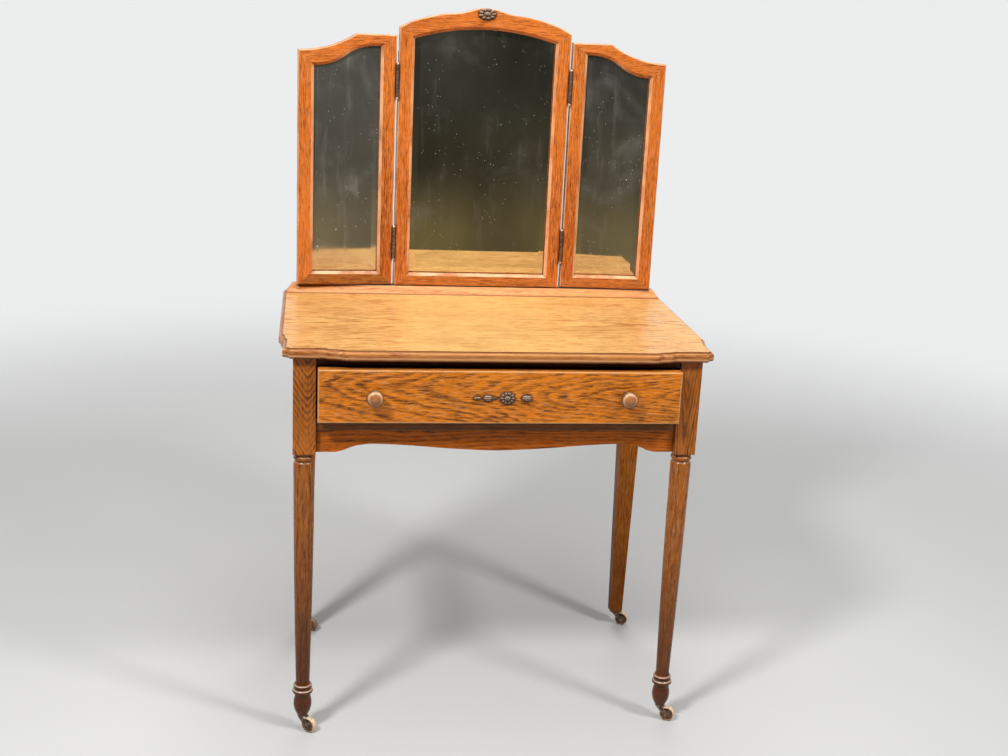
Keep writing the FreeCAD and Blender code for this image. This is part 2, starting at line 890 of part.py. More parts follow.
# Its shelf and the radii of its bends, as shares of the edge's width.
SIGHT_SHELF_SHARE = 0.07
SIGHT_BEND_SHARE = 0.745
SIGHT_HOLLOW_SHARE = 0.82
SCROLL_SHELF_SHARE = 0.399
SCROLL_HOLLOW_SHARE = 1.07


def scroll_path(start, shelf, bends, turns, reach):
    """One edge of a scrolled top, from its high end to its low end."""
    return [start + (0,)] + run_of_bends((start[0] + shelf, start[1]), bends, turns, reach)


def wing_paths(side):
    """Sight and outer edges of a wing about its hinge axis: the scrolled top, then the bottom."""
    edge = cell("hinge_gap") / 2
    far = edge + wing_wide
    wide = cell("stile_wide")
    sight_wide = wing_wide - wide * 2
    sight = scroll_path((edge + wide, wing_top - cell("wing_top_rail_wide")),
                        sight_wide * SIGHT_SHELF_SHARE,
                        (sight_wide * SIGHT_BEND_SHARE, sight_wide * SIGHT_HOLLOW_SHARE),
                        SIGHT_TURNS, far - wide)
    outer = scroll_path((edge, wing_top), wing_wide * SCROLL_SHELF_SHARE,
                        (cell("scroll_corner"), wing_wide * SCROLL_HOLLOW_SHARE), SCROLL_TURNS, far)
    sill = wing_low + cell("wing_rail_wide")
    low_sight = [(far - wide, sill), (edge + wide, sill)]
    low_outer = [(far, wing_low), (edge, wing_low)]
    return tuple([turned(point, side) for point in path] for path in (sight, outer, low_sight, low_outer))


def turned(point, side):
    """A point of the right wing, or its mirror image for the left."""
    if len(point) > 2:
        return (side * as_size(point[0]), point[1], side * as_size(point[2]))
    return (side * as_size(point[0]), point[1])


def backwards(points):
    """The same path from its last point to its first."""
    result = []
    for index in range(len(points) - 1, -1, -1):
        rise = -bulge_of(points[index - 1]) if index > 0 else as_size(0)
        result.append((points[index][0], points[index][1], rise))
    return result


def lies_on(path):
    """A test for front edges whose two ends are both corners of a path."""
    spots = [Vector(float(point[0]), 0, float(point[1])) for point in path]

    def wanted(edge):
        if len(edge.Vertexes) < 2:
            return False
        for vertex in edge.Vertexes:
            if min((vertex.Point - spot).Length for spot in spots) > NEAR:
                return False
        return True

    return wanted


def make_member(name, sight, outer, rebate_outline):
    """One mitred member of a mirror frame, with a bevel at the glass and a rounded outer edge."""
    body = new_body(name)
    outline = list(sight) + backwards(outer)
    bar = pad(body, "XZ_Plane", [outline], cell("frame_thick"), backward=True)
    bevel = dress(body, "Chamfer", bar, lies_on(sight), "Size", cell("sight_bevel"))
    dress(body, "Fillet", bevel, lies_on(outer), "Radius", cell("edge_round"))
    depth = cell("frame_thick") - cell("frame_lip")
    pocket(body, "XZ_Plane", [rebate_outline], depth, backward=True, offset=-cell("frame_thick"))
    return body


def make_sheets(glass_name, board_name, outline):
    """The mirror glass behind the lip of a frame, and the backboard that fills the rest of the rebate."""
    lip = cell("frame_lip")
    board_front = lip + cell("glass_thick")
    glass = new_body(glass_name)
    pad(glass, "XZ_Plane", [outline], cell("glass_thick"), backward=True)
    board = new_body(board_name)
    pad(board, "XZ_Plane", [outline], cell("frame_thick") - board_front, backward=True)
    return (glass, lip), (board, board_front)


def make_center_frame(fixings):
    sight = center_corners(as_size(0))
    outer = center_corners(as_size(1))
    deep = center_corners(REBATE_SHARE)
    inside = center_corners(-REBATE_SHARE)
    spot = (0, mirror_face, 0)
    nodes = []
    for name, low, high in (("center_stile_left", "low_left", "top_left"),
                            ("center_stile_right", "low_right", "top_right")):
        rebate = [deep[low], deep[high], inside[high], inside[low]]
        body = make_member(name + "_bar", [sight[low], sight[high]], [outer[low], outer[high]], rebate)
        nodes.append(cut(name, place(body, spot), fixings))
    rebate = [deep["low_left"], deep["low_right"], inside["low_right"], inside["low_left"]]
    body = make_member("center_bottom_rail", [sight["low_left"], sight["low_right"]],
                       [outer["low_left"], outer["low_right"]], rebate)
    nodes.append(place(body, spot))
    arch = center_arch(as_size(0))
    deep_arch = center_arch(REBATE_SHARE)
    rebate = [deep_arch[0], deep_arch[1], inside["top_left"], inside["top_right"]]
    crest = make_member("center_crest_rail", arch, backwards(crest_line()), rebate)
    nodes.append(place(crest, spot))
    pane = center_corners(PANE_SHARE)
    pane_arch = center_arch(PANE_SHARE)
    outline = [pane["low_left"], pane["low_right"], pane_arch[0], pane_arch[1]]
    for body, front in make_sheets("center_glass", "center_backboard", outline):
        nodes.append(place(body, (0, mirror_face + front, 0)))
    return nodes


# Hinges: leaf and knuckles lie about the hinge axis, with the frame on one side and the wing on the other.
KNUCKLES = 5
FRAME_SLOTS = (0, 2, 4)
WING_SLOTS = (1, 3)
HINGE_LEVELS = (("lower", plinth_top + cell("hinge_rise")), ("upper", wing_top - cell("hinge_drop")))
PIN_TIP_SHARE = 0.8


def hinge_leaf(name, toward, slots, level):
    """A leaf on one side of the axis, with knuckles in its own slots."""
    slot = cell("hinge_long") / KNUCKLES
    low = level - cell("hinge_long") / 2
    half_gap = cell("hinge_gap") / 2
    inner = half_gap - cell("leaf_thick")
    start = cell("leaf_start")
    left, right = (inner, half_gap) if toward > 0 else (-half_gap, -inner)
    pieces = [box(name + "_plate", (left, start, low),
                  (right, start + cell("leaf_wide"), low + cell("hinge_long")))]
    for index in slots:
        bottom = low + slot * index + cell("knuckle_gap") / 2
        length = slot - cell("knuckle_gap")
        pieces.append(box("%s_neck_%d" % (name, index), (left, 0, bottom), (right, start, bottom + length)))
        pieces.append(cylinder("%s_knuckle_%d" % (name, index), cell("barrel_radius"), length, (0, 0, bottom)))
    return fuse(name + "_blank", pieces)


def hinge_bore(name, level):
    low = level - cell("hinge_long") / 2 - overrun
    return cylinder(name, cell("pin_radius") + cell("pin_clearance"), cell("hinge_long") + overrun * 2, (0, 0, low))


def hinge_screws(name, toward, level):
    """Three screws that hold a leaf to the edge of its frame."""
    made = []
    start = cell("hinge_gap") / 2 - cell("leaf_thick")
    depth = cell("leaf_start") + cell("leaf_wide") / 2
    length = cell("leaf_thick") + cell("hinge_screw_long")
    for step in (-1, 0, 1):
        height = level + cell("hinge_screw_space") * step
        made.append(screw("%s_%d" % (name, step + 2), cell("hinge_screw_radius"), length,
                          cell("hinge_screw_head"), cell("hinge_screw_head") - cell("hinge_screw_radius"),
                          (start * toward, depth, height), ALONG_Y, RIGHT_ANGLE * toward))
    return made


def make_hinge_side(stem, toward, slots):
    """Both leaves of one side with their screws, about the hinge axis."""
    leaves = []
    screws = []
    for name, level in HINGE_LEVELS:
        screws += hinge_screws("%s_%s_screw" % (stem, name), toward, level)
    bundle = group(stem + "_screws", screws)
    for name, level in HINGE_LEVELS:
        blank = hinge_leaf("%s_%s" % (stem, name), toward, slots, level)
        bored = cut("%s_%s_bored" % (stem, name), blank, hinge_bore("%s_%s_bore" % (stem, name), level))
        leaves.append(cut("%s_%s_leaf" % (stem, name), bored, bundle))
    return group(stem + "_leaves", leaves), bundle


def make_hinge_pin(name, level):
    """A pin with a small ball at each end."""
    half = cell("hinge_long") / 2
    rod = cylinder(name + "_rod", cell("pin_radius"), cell("hinge_long"), (0, 0, level - half))
    reach = half + cell("pin_tip_radius") * PIN_TIP_SHARE
    upper = sphere(name + "_upper", cell("pin_tip_radius"), (0, 0, level + reach))
    lower = sphere(name + "_lower", cell("pin_tip_radius"), (0, 0, level - reach))
    return fuse(name, [rod, upper, lower])


def make_frame_hinges():
    """The fixed halves of all four hinges: leaves, pins and screws on the middle mirror."""
    leaves = []
    pins = []
    screws = []
    for side, word in SIDES:
        axis_spot = (side * hinge_x, hinge_y, 0)
        plates, fixings = make_hinge_side("fixed_" + word, -side, FRAME_SLOTS)
        leaves.append(place(plates, axis_spot))
        screws.append(place(group("placed_%s_screws" % word, [fixings]), axis_spot))
        for name, level in HINGE_LEVELS:
            pins.append(place(make_hinge_pin("pin_%s_%s" % (word, name), level), axis_spot))
    return group("hinge_frame_leaves", leaves), group("hinge_pins", pins), group("hinge_frame_screws", screws)


# Wings: built about the hinge axis, then turned to the angle at which they stand.
def wing_pose(side):
    angle = cell("right_wing_angle") if side > 0 else cell("left_wing_angle")
    return (side * hinge_x, hinge_y, 0), (DOWN if side > 0 else UP), angle


def make_wing(side, word):
    spot, axis, angle = wing_pose(side)
    setback = cell("hinge_gap") / 2
    sight_top, outer_top, sight_low, outer_low = wing_paths(side)
    stem = word + "_wing"
    leaves, screws = make_hinge_side(stem + "_hinge", side, WING_SLOTS)
    nodes = []

    def strip(share):
        return blend_points(sight_top, outer_top, share), blend_points(sight_low, outer_low, share)

    deep_top, deep_low = strip(REBATE_SHARE)
    in_top, in_low = strip(-REBATE_SHARE)
    members = (
        ("hinge_stile", [sight_low[1], sight_top[0][:2]], [outer_low[1], outer_top[0][:2]],
         [deep_low[1], deep_top[0][:2], in_top[0][:2], in_low[1]]),
        ("outer_stile", [sight_top[-1][:2], sight_low[0]], [outer_top[-1][:2], outer_low[0]],
         [deep_top[-1][:2], deep_low[0], in_low[0], in_top[-1][:2]]),
        ("bottom_rail", [sight_low[0], sight_low[1]], [outer_low[0], outer_low[1]],
         [deep_low[0], deep_low[1], in_low[1], in_low[0]]),
        ("top_rail", sight_top, outer_top,
         deep_top[:-1] + [deep_top[-1][:2], in_top[-1][:2], in_top[0][:2]]),
    )
    for part_word, sight, outer, rebate in members:
        body = make_member("%s_%s_bar" % (stem, part_word), sight, outer, rebate)
        place(body, (0, setback, 0))
        if part_word == "hinge_stile":
            node = cut("%s_%s" % (stem, part_word), body, screws)
        else:
            node = group("%s_%s" % (stem, part_word), [body])
        nodes.append(place(node, spot, axis, angle))
    pane_top, pane_low = strip(PANE_SHARE)
    outline = pane_top[:-1] + [pane_top[-1][:2], pane_low[0], pane_low[1]]
    names = (stem + "_glass", stem + "_backboard")
    sheets = make_sheets(names[0] + "_sheet", names[1] + "_sheet", outline)
    for name, (body, front) in zip(names, sheets):
        place(body, (0, setback + front, 0))
        nodes.append(place(group(name, [body]), spot, axis, angle))
    nodes.append(place(leaves, spot, axis, angle))
    nodes.append(place(group(stem + "_hinge_screw_set", [screws]), spot, axis, angle))
    return nodes


# Drawer: an open box behind a thick front, standing a little way out of its opening.
drawer_half = leg_inner - cell("drawer_side_gap")
drawer_side_half = drawer_half - cell("drawer_side_inset")
drawer_low = bottom_rail_top + cell("drawer_run_gap")
drawer_front_low = bottom_rail_top + cell("drawer_front_lift")
drawer_front_high = top_rail_bottom - cell("drawer_top_gap")
drawer_front_back = drawer_face + cell("drawer_front_thick")
drawer_long = rear_leg_face - cell("drawer_stop_gap") - leg_face - cell("rail_recess")
drawer_rear = drawer_face + drawer_long
drawer_bottom_low = drawer_low + cell("drawer_bottom_up")
drawer_bottom_high = drawer_bottom_low + cell("drawer_bottom_thick")
drawer_back_rear = drawer_rear - cell("drawer_back_set")
drawer_back_front = drawer_back_rear - cell("drawer_back_thick")
drawer_side_high = drawer_front_high - cell("drawer_side_drop")
knob_out = drawer_half - cell("knob_inset")
knob_level = drawer_front_high - cell("knob_drop")


def make_drawer():
    nodes = []
    groove = cell("drawer_groove")
    inside = drawer_side_half - cell("drawer_side_thick")
    screws = make_knob_screws()
    front = new_body("drawer_front_board")
    thick = cell("drawer_front_thick")
    board = pad(front, "XZ_Plane", [rectangle(-drawer_half, drawer_front_low, drawer_half, drawer_front_high)],
                thick, backward=True)

    def on_the_face(edge):
        return abs(edge.BoundBox.YMin) < NEAR and abs(edge.BoundBox.YMax) < NEAR

    dress(front, "Chamfer", board, on_the_face, "Size", cell("block_ease"))
    slot = rectangle(-inside - groove, drawer_bottom_low, inside + groove, drawer_bottom_high)
    pocket(front, "XZ_Plane", [slot], groove, backward=True, offset=-thick)
    nodes.append(cut("drawer_front", place(front, (0, drawer_face, 0)), screws))
    panel = box("drawer_bottom", (-inside - groove, drawer_front_back - groove, drawer_bottom_low),
                (inside + groove, drawer_rear - groove, drawer_bottom_high))
    for side, word in SIDES:
        left, right = (inside, drawer_side_half) if side > 0 else (-drawer_side_half, -inside)
        plank = box("drawer_side_plank_" + word, (left, drawer_front_back, drawer_low),
                    (right, drawer_rear, drawer_side_high))
        nodes.append(cut("drawer_side_" + word, plank, panel))
    nodes.append(box("drawer_back", (-inside, drawer_back_front, drawer_bottom_high),
                     (inside, drawer_back_rear, drawer_front_high - cell("drawer_back_drop"))))
    nodes.append(panel)
    nodes.append(make_knobs())
    nodes.append(screws)
    nodes.append(make_drawer_carving())
    return nodes


def make_knob_screws():
    screws = []
    length = cell("drawer_front_thick") + cell("knob_screw_grip")
    for side, word in SIDES:
        screws.append(screw("knob_screw_" + word, cell("knob_screw_radius"), length,
                            cell("knob_screw_head"), cell("knob_screw_head") - cell("knob_screw_radius"),
                            (knob_out * side, drawer_front_back, knob_level), ALONG_X, RIGHT_ANGLE))
    return group("knob_screws", screws)


# Turned knob: a radius share, a share of its length and the rise of the next arc as a radius share.
KNOB_SHARES = [
    (0.62, 0.00, 0.0),
    (0.62, 0.08, 0.0),
    (0.48, 0.16, 0.03),
    (0.50, 0.40, 0.0),
    (0.86, 0.50, -0.06),
]
KNOB_RIM_SHARE = 0.68


def knob_dome():
    """The widest point of a knob, with an arc to its tip that is centred on the knob's own axis."""
    radius = cell("knob_radius")
    rim = cell("knob_long") * KNOB_RIM_SHARE
    high = cell("knob_long") - rim
    chord = root(radius * radius + high * high)
    return radius, rim, -(chord * (chord - radius) / (2 * high))


def make_knobs():
    knobs = []
    radius = cell("knob_radius")
    bore = cell("knob_screw_radius")
    depth = cell("knob_screw_grip") + cell("knob_bore_spare")
    for side, word in SIDES:
        body = new_body("knob_" + word)
        outline = [(bore, 0)]
        for wide, along, rise in KNOB_SHARES:
            outline.append((radius * wide, cell("knob_long") * along, radius * rise))
        outline += [knob_dome(), (0, cell("knob_long")), (0, depth), (bore, depth)]
        revolve(body, "XZ_Plane", outline, "V_Axis")
        knobs.append(place(body, (knob_out * side, drawer_face, knob_level), ALONG_X, RIGHT_ANGLE))
    return group("drawer_knobs", knobs)


def half_dome(name, proud, half_wide, half_high, spot):
    """The outer half of an ellipsoid whose flat side lies on a front face."""
    dome = doc.addObject("Part::Ellipsoid", name)
    bind(dome, "Radius1", proud)
    bind(dome, "Radius2", half_wide)
    bind(dome, "Radius3", half_high)
    dome.Angle1 = 0
    return place(dome, spot, ALONG_X, RIGHT_ANGLE)


# A rosette: petals round a middle dome, over a low base.
PETALS = 8
PETAL_OUT_SHARE = 0.66
PETAL_WIDE_SHARE = 0.34
PETAL_PROUD_SHARE = 0.78
MIDDLE_SHARE = 0.42
BASE_SHARE = 0.92
BASE_PROUD_SHARE = 0.45


def make_rosette(name, long, high, proud, spot):
    half_wide = long / 2
    half_high = high / 2
    x, y, z = spot
    pieces = [half_dome(name + "_middle", proud, half_wide * MIDDLE_SHARE, half_high * MIDDLE_SHARE, spot)]
    pieces.append(half_dome(name + "_base", proud * BASE_PROUD_SHARE, half_wide * BASE_SHARE,
                            half_high * BASE_SHARE, spot))
    for index in range(PETALS):
        turn = 2 * math.pi * index / PETALS
        out_x = half_wide * (PETAL_OUT_SHARE * math.cos(turn))
        out_z = half_high * (PETAL_OUT_SHARE * math.sin(turn))
        pieces.append(half_dome("%s_petal_%d" % (name, index + 1), proud * PETAL_PROUD_SHARE,
                                half_wide * PETAL_WIDE_SHARE, half_high * PETAL_WIDE_SHARE,
                                (x + out_x, y, z + out_z)))
    return fuse(name, pieces)


def make_drawer_carving():
    """The applied ornament on the drawer: a rosette between two buds, with one tail and one bead left."""
    middle = cell("carving_offset")
    level = drawer_front_high - cell("carving_drop")
    proud = cell("carving_proud")
    bud_half = cell("bud_long") / 2
    bud_out = cell("bud_near") + bud_half
    pieces = [make_rosette("drawer_rosette", cell("rosette_long"), cell("rosette_high"), proud,
                           (middle, drawer_face, level))]
    buds = []
    for side, word in SIDES:
        buds.append(half_dome("bud_" + word, proud, bud_half, cell("bud_high") / 2,
                              (middle + bud_out * side, drawer_face, level)))
    tail_half = cell("tail_long") / 2
    tail = half_dome("tail", proud / 2, tail_half, cell("tail_high") / 2,
                     (middle - cell("tail_near") - tail_half, drawer_face, level))
    pieces.append(fuse("bud_with_tail", [buds[0], tail]))
    pieces.append(buds[1])
    pieces.append(half_dome("bead", proud * PETAL_PROUD_SHARE, cell("bead_long") / 2, cell("bead_high") / 2,
                            (middle - cell("bead_far"), drawer_face, level)))
    return group("drawer_carving", pieces)


# Casters: a horn that swivels in a socket in the leg, and a wooden wheel on a riveted axle.
HORN_NECK_SHARE = 0.62


def disk(across, level, radius):
    """A circle drawn as two half turns about a point of a sketch."""
    return [(across - radius, level, radius), (across + radius, level, radius)]


def caster_levels():
    flange_low = cell("leg_bottom") - cell("socket_flange")
    crown_top = flange_low - cell("crown_gap")
    return flange_low, crown_top, crown_top - cell("crown_thick")


def make_socket(name, spot):
    body = new_body(name)
    flange_low = caster_levels()[0]
    inner = cell("stem_radius") + cell("stem_clearance")
    outer = cell("socket_radius")
    top = cell("leg_bottom") + cell("stem_long")
    outline = [(inner, flange_low), (cell("socket_flange_radius"), flange_low),
               (cell("socket_flange_radius"), cell("leg_bottom")), (outer, cell("leg_bottom")),
               (outer, top), (inner, top)]
    revolve(body, "XZ_Plane", outline, "V_Axis")
    return place(body, spot)


def make_caster(word, spot, angle):
    trail = cell("caster_trail")
    axle_level = cell("wheel_radius")
    flange_low, crown_top, crown_low = caster_levels()
    inside = cell("wheel_wide") + cell("wheel_side_gap") * 2
    outside = inside + cell("fork_thick") * 2
    foot = cell("fork_foot_radius")
    lean = foot * HALF_ROOT
    neck = cell("crown_radius") * HORN_NECK_SHARE
    horn = new_body("horn_" + word)
    arm = [(-neck, crown_top), (-neck, crown_low), (trail - lean, axle_level - lean, -foot),
           (trail + lean, axle_level + lean), (neck, crown_low), (neck, crown_top)]
    pad(horn, "XZ_Plane", [arm], outside, midplane=True)
    gap = rectangle(-cell("crown_radius") - overrun, -overrun, trail + foot + overrun, crown_low)
    pocket(horn, "XZ_Plane", [gap], inside, midplane=True)
    pocket(horn, "XZ_Plane", [disk(trail, axle_level, cell("axle_radius"))], outside + overrun, midplane=True)
    stem = [(0, crown_low), (cell("crown_radius"), crown_low), (cell("crown_radius"), crown_top),
            (cell("stem_radius"), crown_top), (cell("stem_radius"), crown_top + cell("stem_long")),
            (0, crown_top + cell("stem_long"))]
    revolve(horn, "XZ_Plane", stem, "V_Axis")
    axle_long = outside + cell("rivet_proud") * 2
    axle = cylinder("axle_" + word, cell("axle_radius"), axle_long, (trail, axle_long / 2, axle_level),
                    ALONG_X, RIGHT_ANGLE)
    wheel = new_body("wheel_body_" + word)
    tread = pad(wheel, "XZ_Plane", [disk(trail, axle_level, cell("wheel_radius"))], cell("wheel_wide"),
                midplane=True)

    def rim(edge):
        return edge.BoundBox.YLength < NEAR

    dress(wheel, "Fillet", tread, rim, "Radius", cell("wheel_round"))
    bore = cell("axle_radius") + cell("axle_clearance")
    pocket(wheel, "XZ_Plane", [disk(trail, axle_level, bore)], outside, midplane=True)
    frame = group("caster_horn_" + word, [horn, axle])
    roller = group("caster_wheel_" + word, [wheel])
    return place(frame, spot, DOWN, angle), place(roller, spot, DOWN, angle)


def make_casters():
    front = leg_face + cell("front_square") / 2
    rear = rear_leg_face + cell("rear_square") / 2
    front_out = leg_half_span - cell("front_square") / 2
    rear_out = leg_half_span - cell("rear_square") / 2
    nodes = []
    sockets = []
    for word, across, depth in (("front_left", -front_out, front), ("front_right", front_out, front),
                                ("rear_left", -rear_out, rear), ("rear_right", rear_out, rear)):
        spot = (across, depth, 0)
        sockets.append(make_socket("socket_" + word, spot))
        nodes += make_caster(word, spot, cell("trail_" + word))
    return [group("caster_sockets", sockets)] + nodes


def make_crest_rosette():
    crest_top = center_corner + cell("crest_flank_rise") + cell("crest_crown")
    return make_rosette("crest_rosette", cell("crest_rosette_long"), cell("crest_rosette_high"),
                        cell("carving_proud"), (0, mirror_face, crest_top - cell("crest_rosette_drop")))


def make_all():
    nodes = [make_table_top(), make_plinth()]
    for side, word in SIDES:
        nodes.append(make_front_leg("front_leg_" + word, side))
        nodes.append(make_rear_leg("rear_leg_" + word, side))
    nodes += make_rails()
    nodes.append(make_front_apron())
    nodes.append(make_glue_blocks())
    fixings, posts, back_rail = make_posts()
    nodes += [fixings, posts, back_rail]
    hinge_nodes = make_frame_hinges()
    nodes += hinge_nodes
    nodes += make_center_frame(group("frame_fixings", [fixings, hinge_nodes[-1]]))
    nodes.append(make_crest_rosette())
    for side, word in SIDES:
        nodes += make_wing(side, word)
    nodes += make_drawer()
    nodes += make_casters()
    return nodes


def check(nodes):
    """Stop before anything is written if a feature failed or a piece has no sound shape."""
    for thing in doc.Objects:
        if "Invalid" in thing.State or "Error" in thing.State:
            raise RuntimeError("%s failed: %s" % (thing.Name, thing.State))
    for node in nodes:
        if node.Shape.isNull() or not node.Shape.isValid() or not node.Shape.Solids:
            raise RuntimeError("%s has no sound shape" % node.Name)


nodes = make_all()
doc.recompute()
check(nodes)
os.makedirs("parts", exist_ok=True)
for node in nodes:
    node.Label = node.Name
    node.Shape.exportStep("parts/%s.step" % node.Name)
print("%d pieces written" % len(nodes))
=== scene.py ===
import json
import math

import bmesh
import bpy
from mathutils import Matrix, Vector


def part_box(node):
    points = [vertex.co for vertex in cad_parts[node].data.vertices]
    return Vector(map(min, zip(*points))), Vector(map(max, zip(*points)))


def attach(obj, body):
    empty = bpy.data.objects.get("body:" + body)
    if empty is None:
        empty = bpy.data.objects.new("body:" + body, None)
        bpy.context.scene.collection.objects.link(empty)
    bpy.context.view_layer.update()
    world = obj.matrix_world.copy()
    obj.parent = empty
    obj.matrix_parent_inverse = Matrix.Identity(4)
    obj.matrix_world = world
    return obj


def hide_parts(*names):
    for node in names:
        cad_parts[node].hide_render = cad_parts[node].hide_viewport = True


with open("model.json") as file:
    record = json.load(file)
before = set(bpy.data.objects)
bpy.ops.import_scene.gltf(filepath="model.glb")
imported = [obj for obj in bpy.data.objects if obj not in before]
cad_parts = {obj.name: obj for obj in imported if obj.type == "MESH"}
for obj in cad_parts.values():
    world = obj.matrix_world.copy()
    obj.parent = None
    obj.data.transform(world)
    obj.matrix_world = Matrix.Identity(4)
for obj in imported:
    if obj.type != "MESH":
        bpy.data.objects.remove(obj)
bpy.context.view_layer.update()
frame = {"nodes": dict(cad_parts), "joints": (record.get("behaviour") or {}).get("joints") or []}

bl_info = {
    "name": "Oak Dressing Table",
    "version": (1, 0, 0),
    "blender": (4, 5, 0),
    "location": "3D View > Sidebar > Dressing Table",
    "description": "Wood, glass and metal finishes for an oak dressing table with folding mirrors",
    "category": "Object",
}

# Lengths are in metres, the scales of noises in waves to the metre, and colours in linear light.
NODES = frame["nodes"]
CORNERS = ("front_left", "front_right", "rear_left", "rear_right")
UP = Vector((0, 0, 1))


# Shader building
class Shader:
    """Adds nodes to one shader tree and joins them."""

    def __init__(self, tree):
        self.tree = tree

    def feed(self, node, values):
        """Links an input where its value is a socket, and otherwise sets the input's own value."""
        for key, value in values.items():
            if isinstance(value, bpy.types.NodeSocket):
                self.tree.links.new(value, node.inputs[key])
            else:
                node.inputs[key].default_value = value
        return node

    def node(self, kind, inputs=None, **settings):
        made = self.tree.nodes.new(kind)
        for name, value in settings.items():
            setattr(made, name, value)
        return self.feed(made, inputs or {})

    def math(self, operation, *values, clamp=False):
        made = self.node("ShaderNodeMath", dict(enumerate(values)), operation=operation, use_clamp=clamp)
        return made.outputs[0]

    def times(self, first, second, clamp=False):
        return self.math("MULTIPLY", first, second, clamp=clamp)

    def times_plus(self, first, second, added, clamp=False):
        return self.math("MULTIPLY_ADD", first, second, added, clamp=clamp)

    def minus(self, first, second):
        return self.math("SUBTRACT", first, second)

    def larger(self, first, second):
        return self.math("MAXIMUM", first, second)

    def vector(self, operation, *values):
        made = self.node("ShaderNodeVectorMath", dict(enumerate(values)), operation=operation)
        return made.outputs["Value"] if operation in ("DOT_PRODUCT", "LENGTH") else made.outputs[0]

    def split(self, vector):
        return self.node("ShaderNodeSeparateXYZ", {0: vector}).outputs

    def place(self):
        """The point's own place in the frame of the whole table."""
        return self.node("ShaderNodeTexCoord").outputs["Object"]

    def facing(self):
        """The three parts of the direction in which the surface faces."""
        return self.split(self.node("ShaderNodeTexCoord").outputs["Normal"])

    def mix(self, factor, first, second, blend="MIX"):
        """Two colours or values blended; a mix node has its colours at inputs 6 and 7."""
        made = self.node("ShaderNodeMix", {0: factor, 6: first, 7: second}, data_type="RGBA",
                         blend_type=blend, clamp_factor=True)
        return made.outputs[2]

    def band(self, value, low, high, start=0.0, end=1.0):
        """A soft step of a value between two levels."""
        levels = {"Value": value, "From Min": low, "From Max": high, "To Min": start, "To Max": end}
        return self.node("ShaderNodeMapRange", levels, interpolation_type="SMOOTHSTEP").outputs[0]

    def fall(self, value, low, high, start=1.0, end=0.0):
        """A soft step down."""
        return self.band(value, low, high, start, end)

    def between(self, value, levels):
        """One between the middle two of four levels, with a soft step up before and down after them."""
        return self.times(self.band(value, *levels[:2]), self.fall(value, *levels[2:]))

    def stain(self, color, mask, tone, strength):
        """A colour that takes on another tone where a mask is, by some strength."""
        return self.mix(self.times(mask, strength), color, tone)

    def noise(self, vector, scale, detail=2.0, roughness=0.5, distortion=0.0, stretch=None, output="Fac"):
        """Clouds, drawn out along an axis where the stretch is under 1."""
        if stretch:
            vector = self.vector("MULTIPLY", vector, stretch)
        inputs = {"Vector": vector, "Scale": scale, "Detail": detail, "Roughness": roughness,
                  "Distortion": distortion}
        return self.node("ShaderNodeTexNoise", inputs).outputs[output]

    def streaks(self, vector, length, scale, low, high, detail=2.0, roughness=0.6):
        """Dashes along X, some times as long as they are wide."""
        drawn = (1.0 / length, 1.0, 1.0)
        return self.band(self.noise(vector, scale, detail, roughness, stretch=drawn), low, high)

    def spots(self, vector, scale, small, large):
        """Round spots, one in each cell."""
        made = self.node("ShaderNodeTexVoronoi", {"Vector": vector, "Scale": scale})
        return self.fall(made.outputs["Distance"], small, large)

    def openness(self, distance):
        """One on a plain face and less in a hollow."""
        return self.node("ShaderNodeAmbientOcclusion", {"Distance": distance}, samples=4).outputs["AO"]

    def bump(self, height, strength, distance, normal=None):
        inputs = {"Height": height, "Strength": strength, "Distance": distance}
        if normal is not None:
            inputs["Normal"] = normal
        return self.node("ShaderNodeBump", inputs).outputs["Normal"]

    def use(self, group, inputs):
        return self.node("ShaderNodeGroup", inputs, node_tree=group).outputs


SOCKETS = {"float": "NodeSocketFloat", "vector": "NodeSocketVector", "color": "NodeSocketColor"}


def shader_group(name, inputs, outputs, build):
    """A shader node group with named sockets, built once."""
    if name in bpy.data.node_groups:
        return bpy.data.node_groups[name]
    tree = bpy.data.node_groups.new(name, "ShaderNodeTree")
    for socket_name, kind, default in inputs:
        socket = tree.interface.new_socket(name=socket_name, in_out="INPUT", socket_type=SOCKETS[kind])
        if default is not None:
            socket.default_value = default
    for socket_name, kind in outputs:
        tree.interface.new_socket(name=socket_name, in_out="OUTPUT", socket_type=SOCKETS[kind])
    shader = Shader(tree)
    entry = tree.nodes.new("NodeGroupInput").outputs
    leave = tree.nodes.new("NodeGroupOutput")
    shader.feed(leave, build(shader, entry))
    return tree


# The Pale input is the strength of the painted highlights, pale glints along the grain, and Pale Color is
# their tone.
FIGURE_INPUTS = (
    ("Vector", "vector", None), ("Pith", "vector", (0.0, 0.0, 0.0)), ("Lean", "vector", (0.0, 0.0, 0.0)),
    ("Taper", "float", 0.0), ("Ring Width", "float", 0.0055), ("Ragged", "float", 0.7),
    ("Wave", "vector", (0.01, 0.01, 0.01)), ("Wave Scale", "float", 11.0), ("Broken", "float", 0.75),
    ("Contrast", "float", 0.8), ("Fleck", "float", 0.3), ("Cloud", "float", 0.5), ("Fine", "float", 0.7),
    ("Pale", "float", 0.3), ("Pore Strength", "float", 0.5), ("Light", "color", (0.5, 0.2, 0.05, 1.0)),
    ("Dark", "color", (0.15, 0.05, 0.01, 1.0)), ("Pale Color", "color", (0.8, 0.5, 0.2, 1.0)),
    ("Pore Color", "color", (0.05, 0.02, 0.006, 1.0)),
)
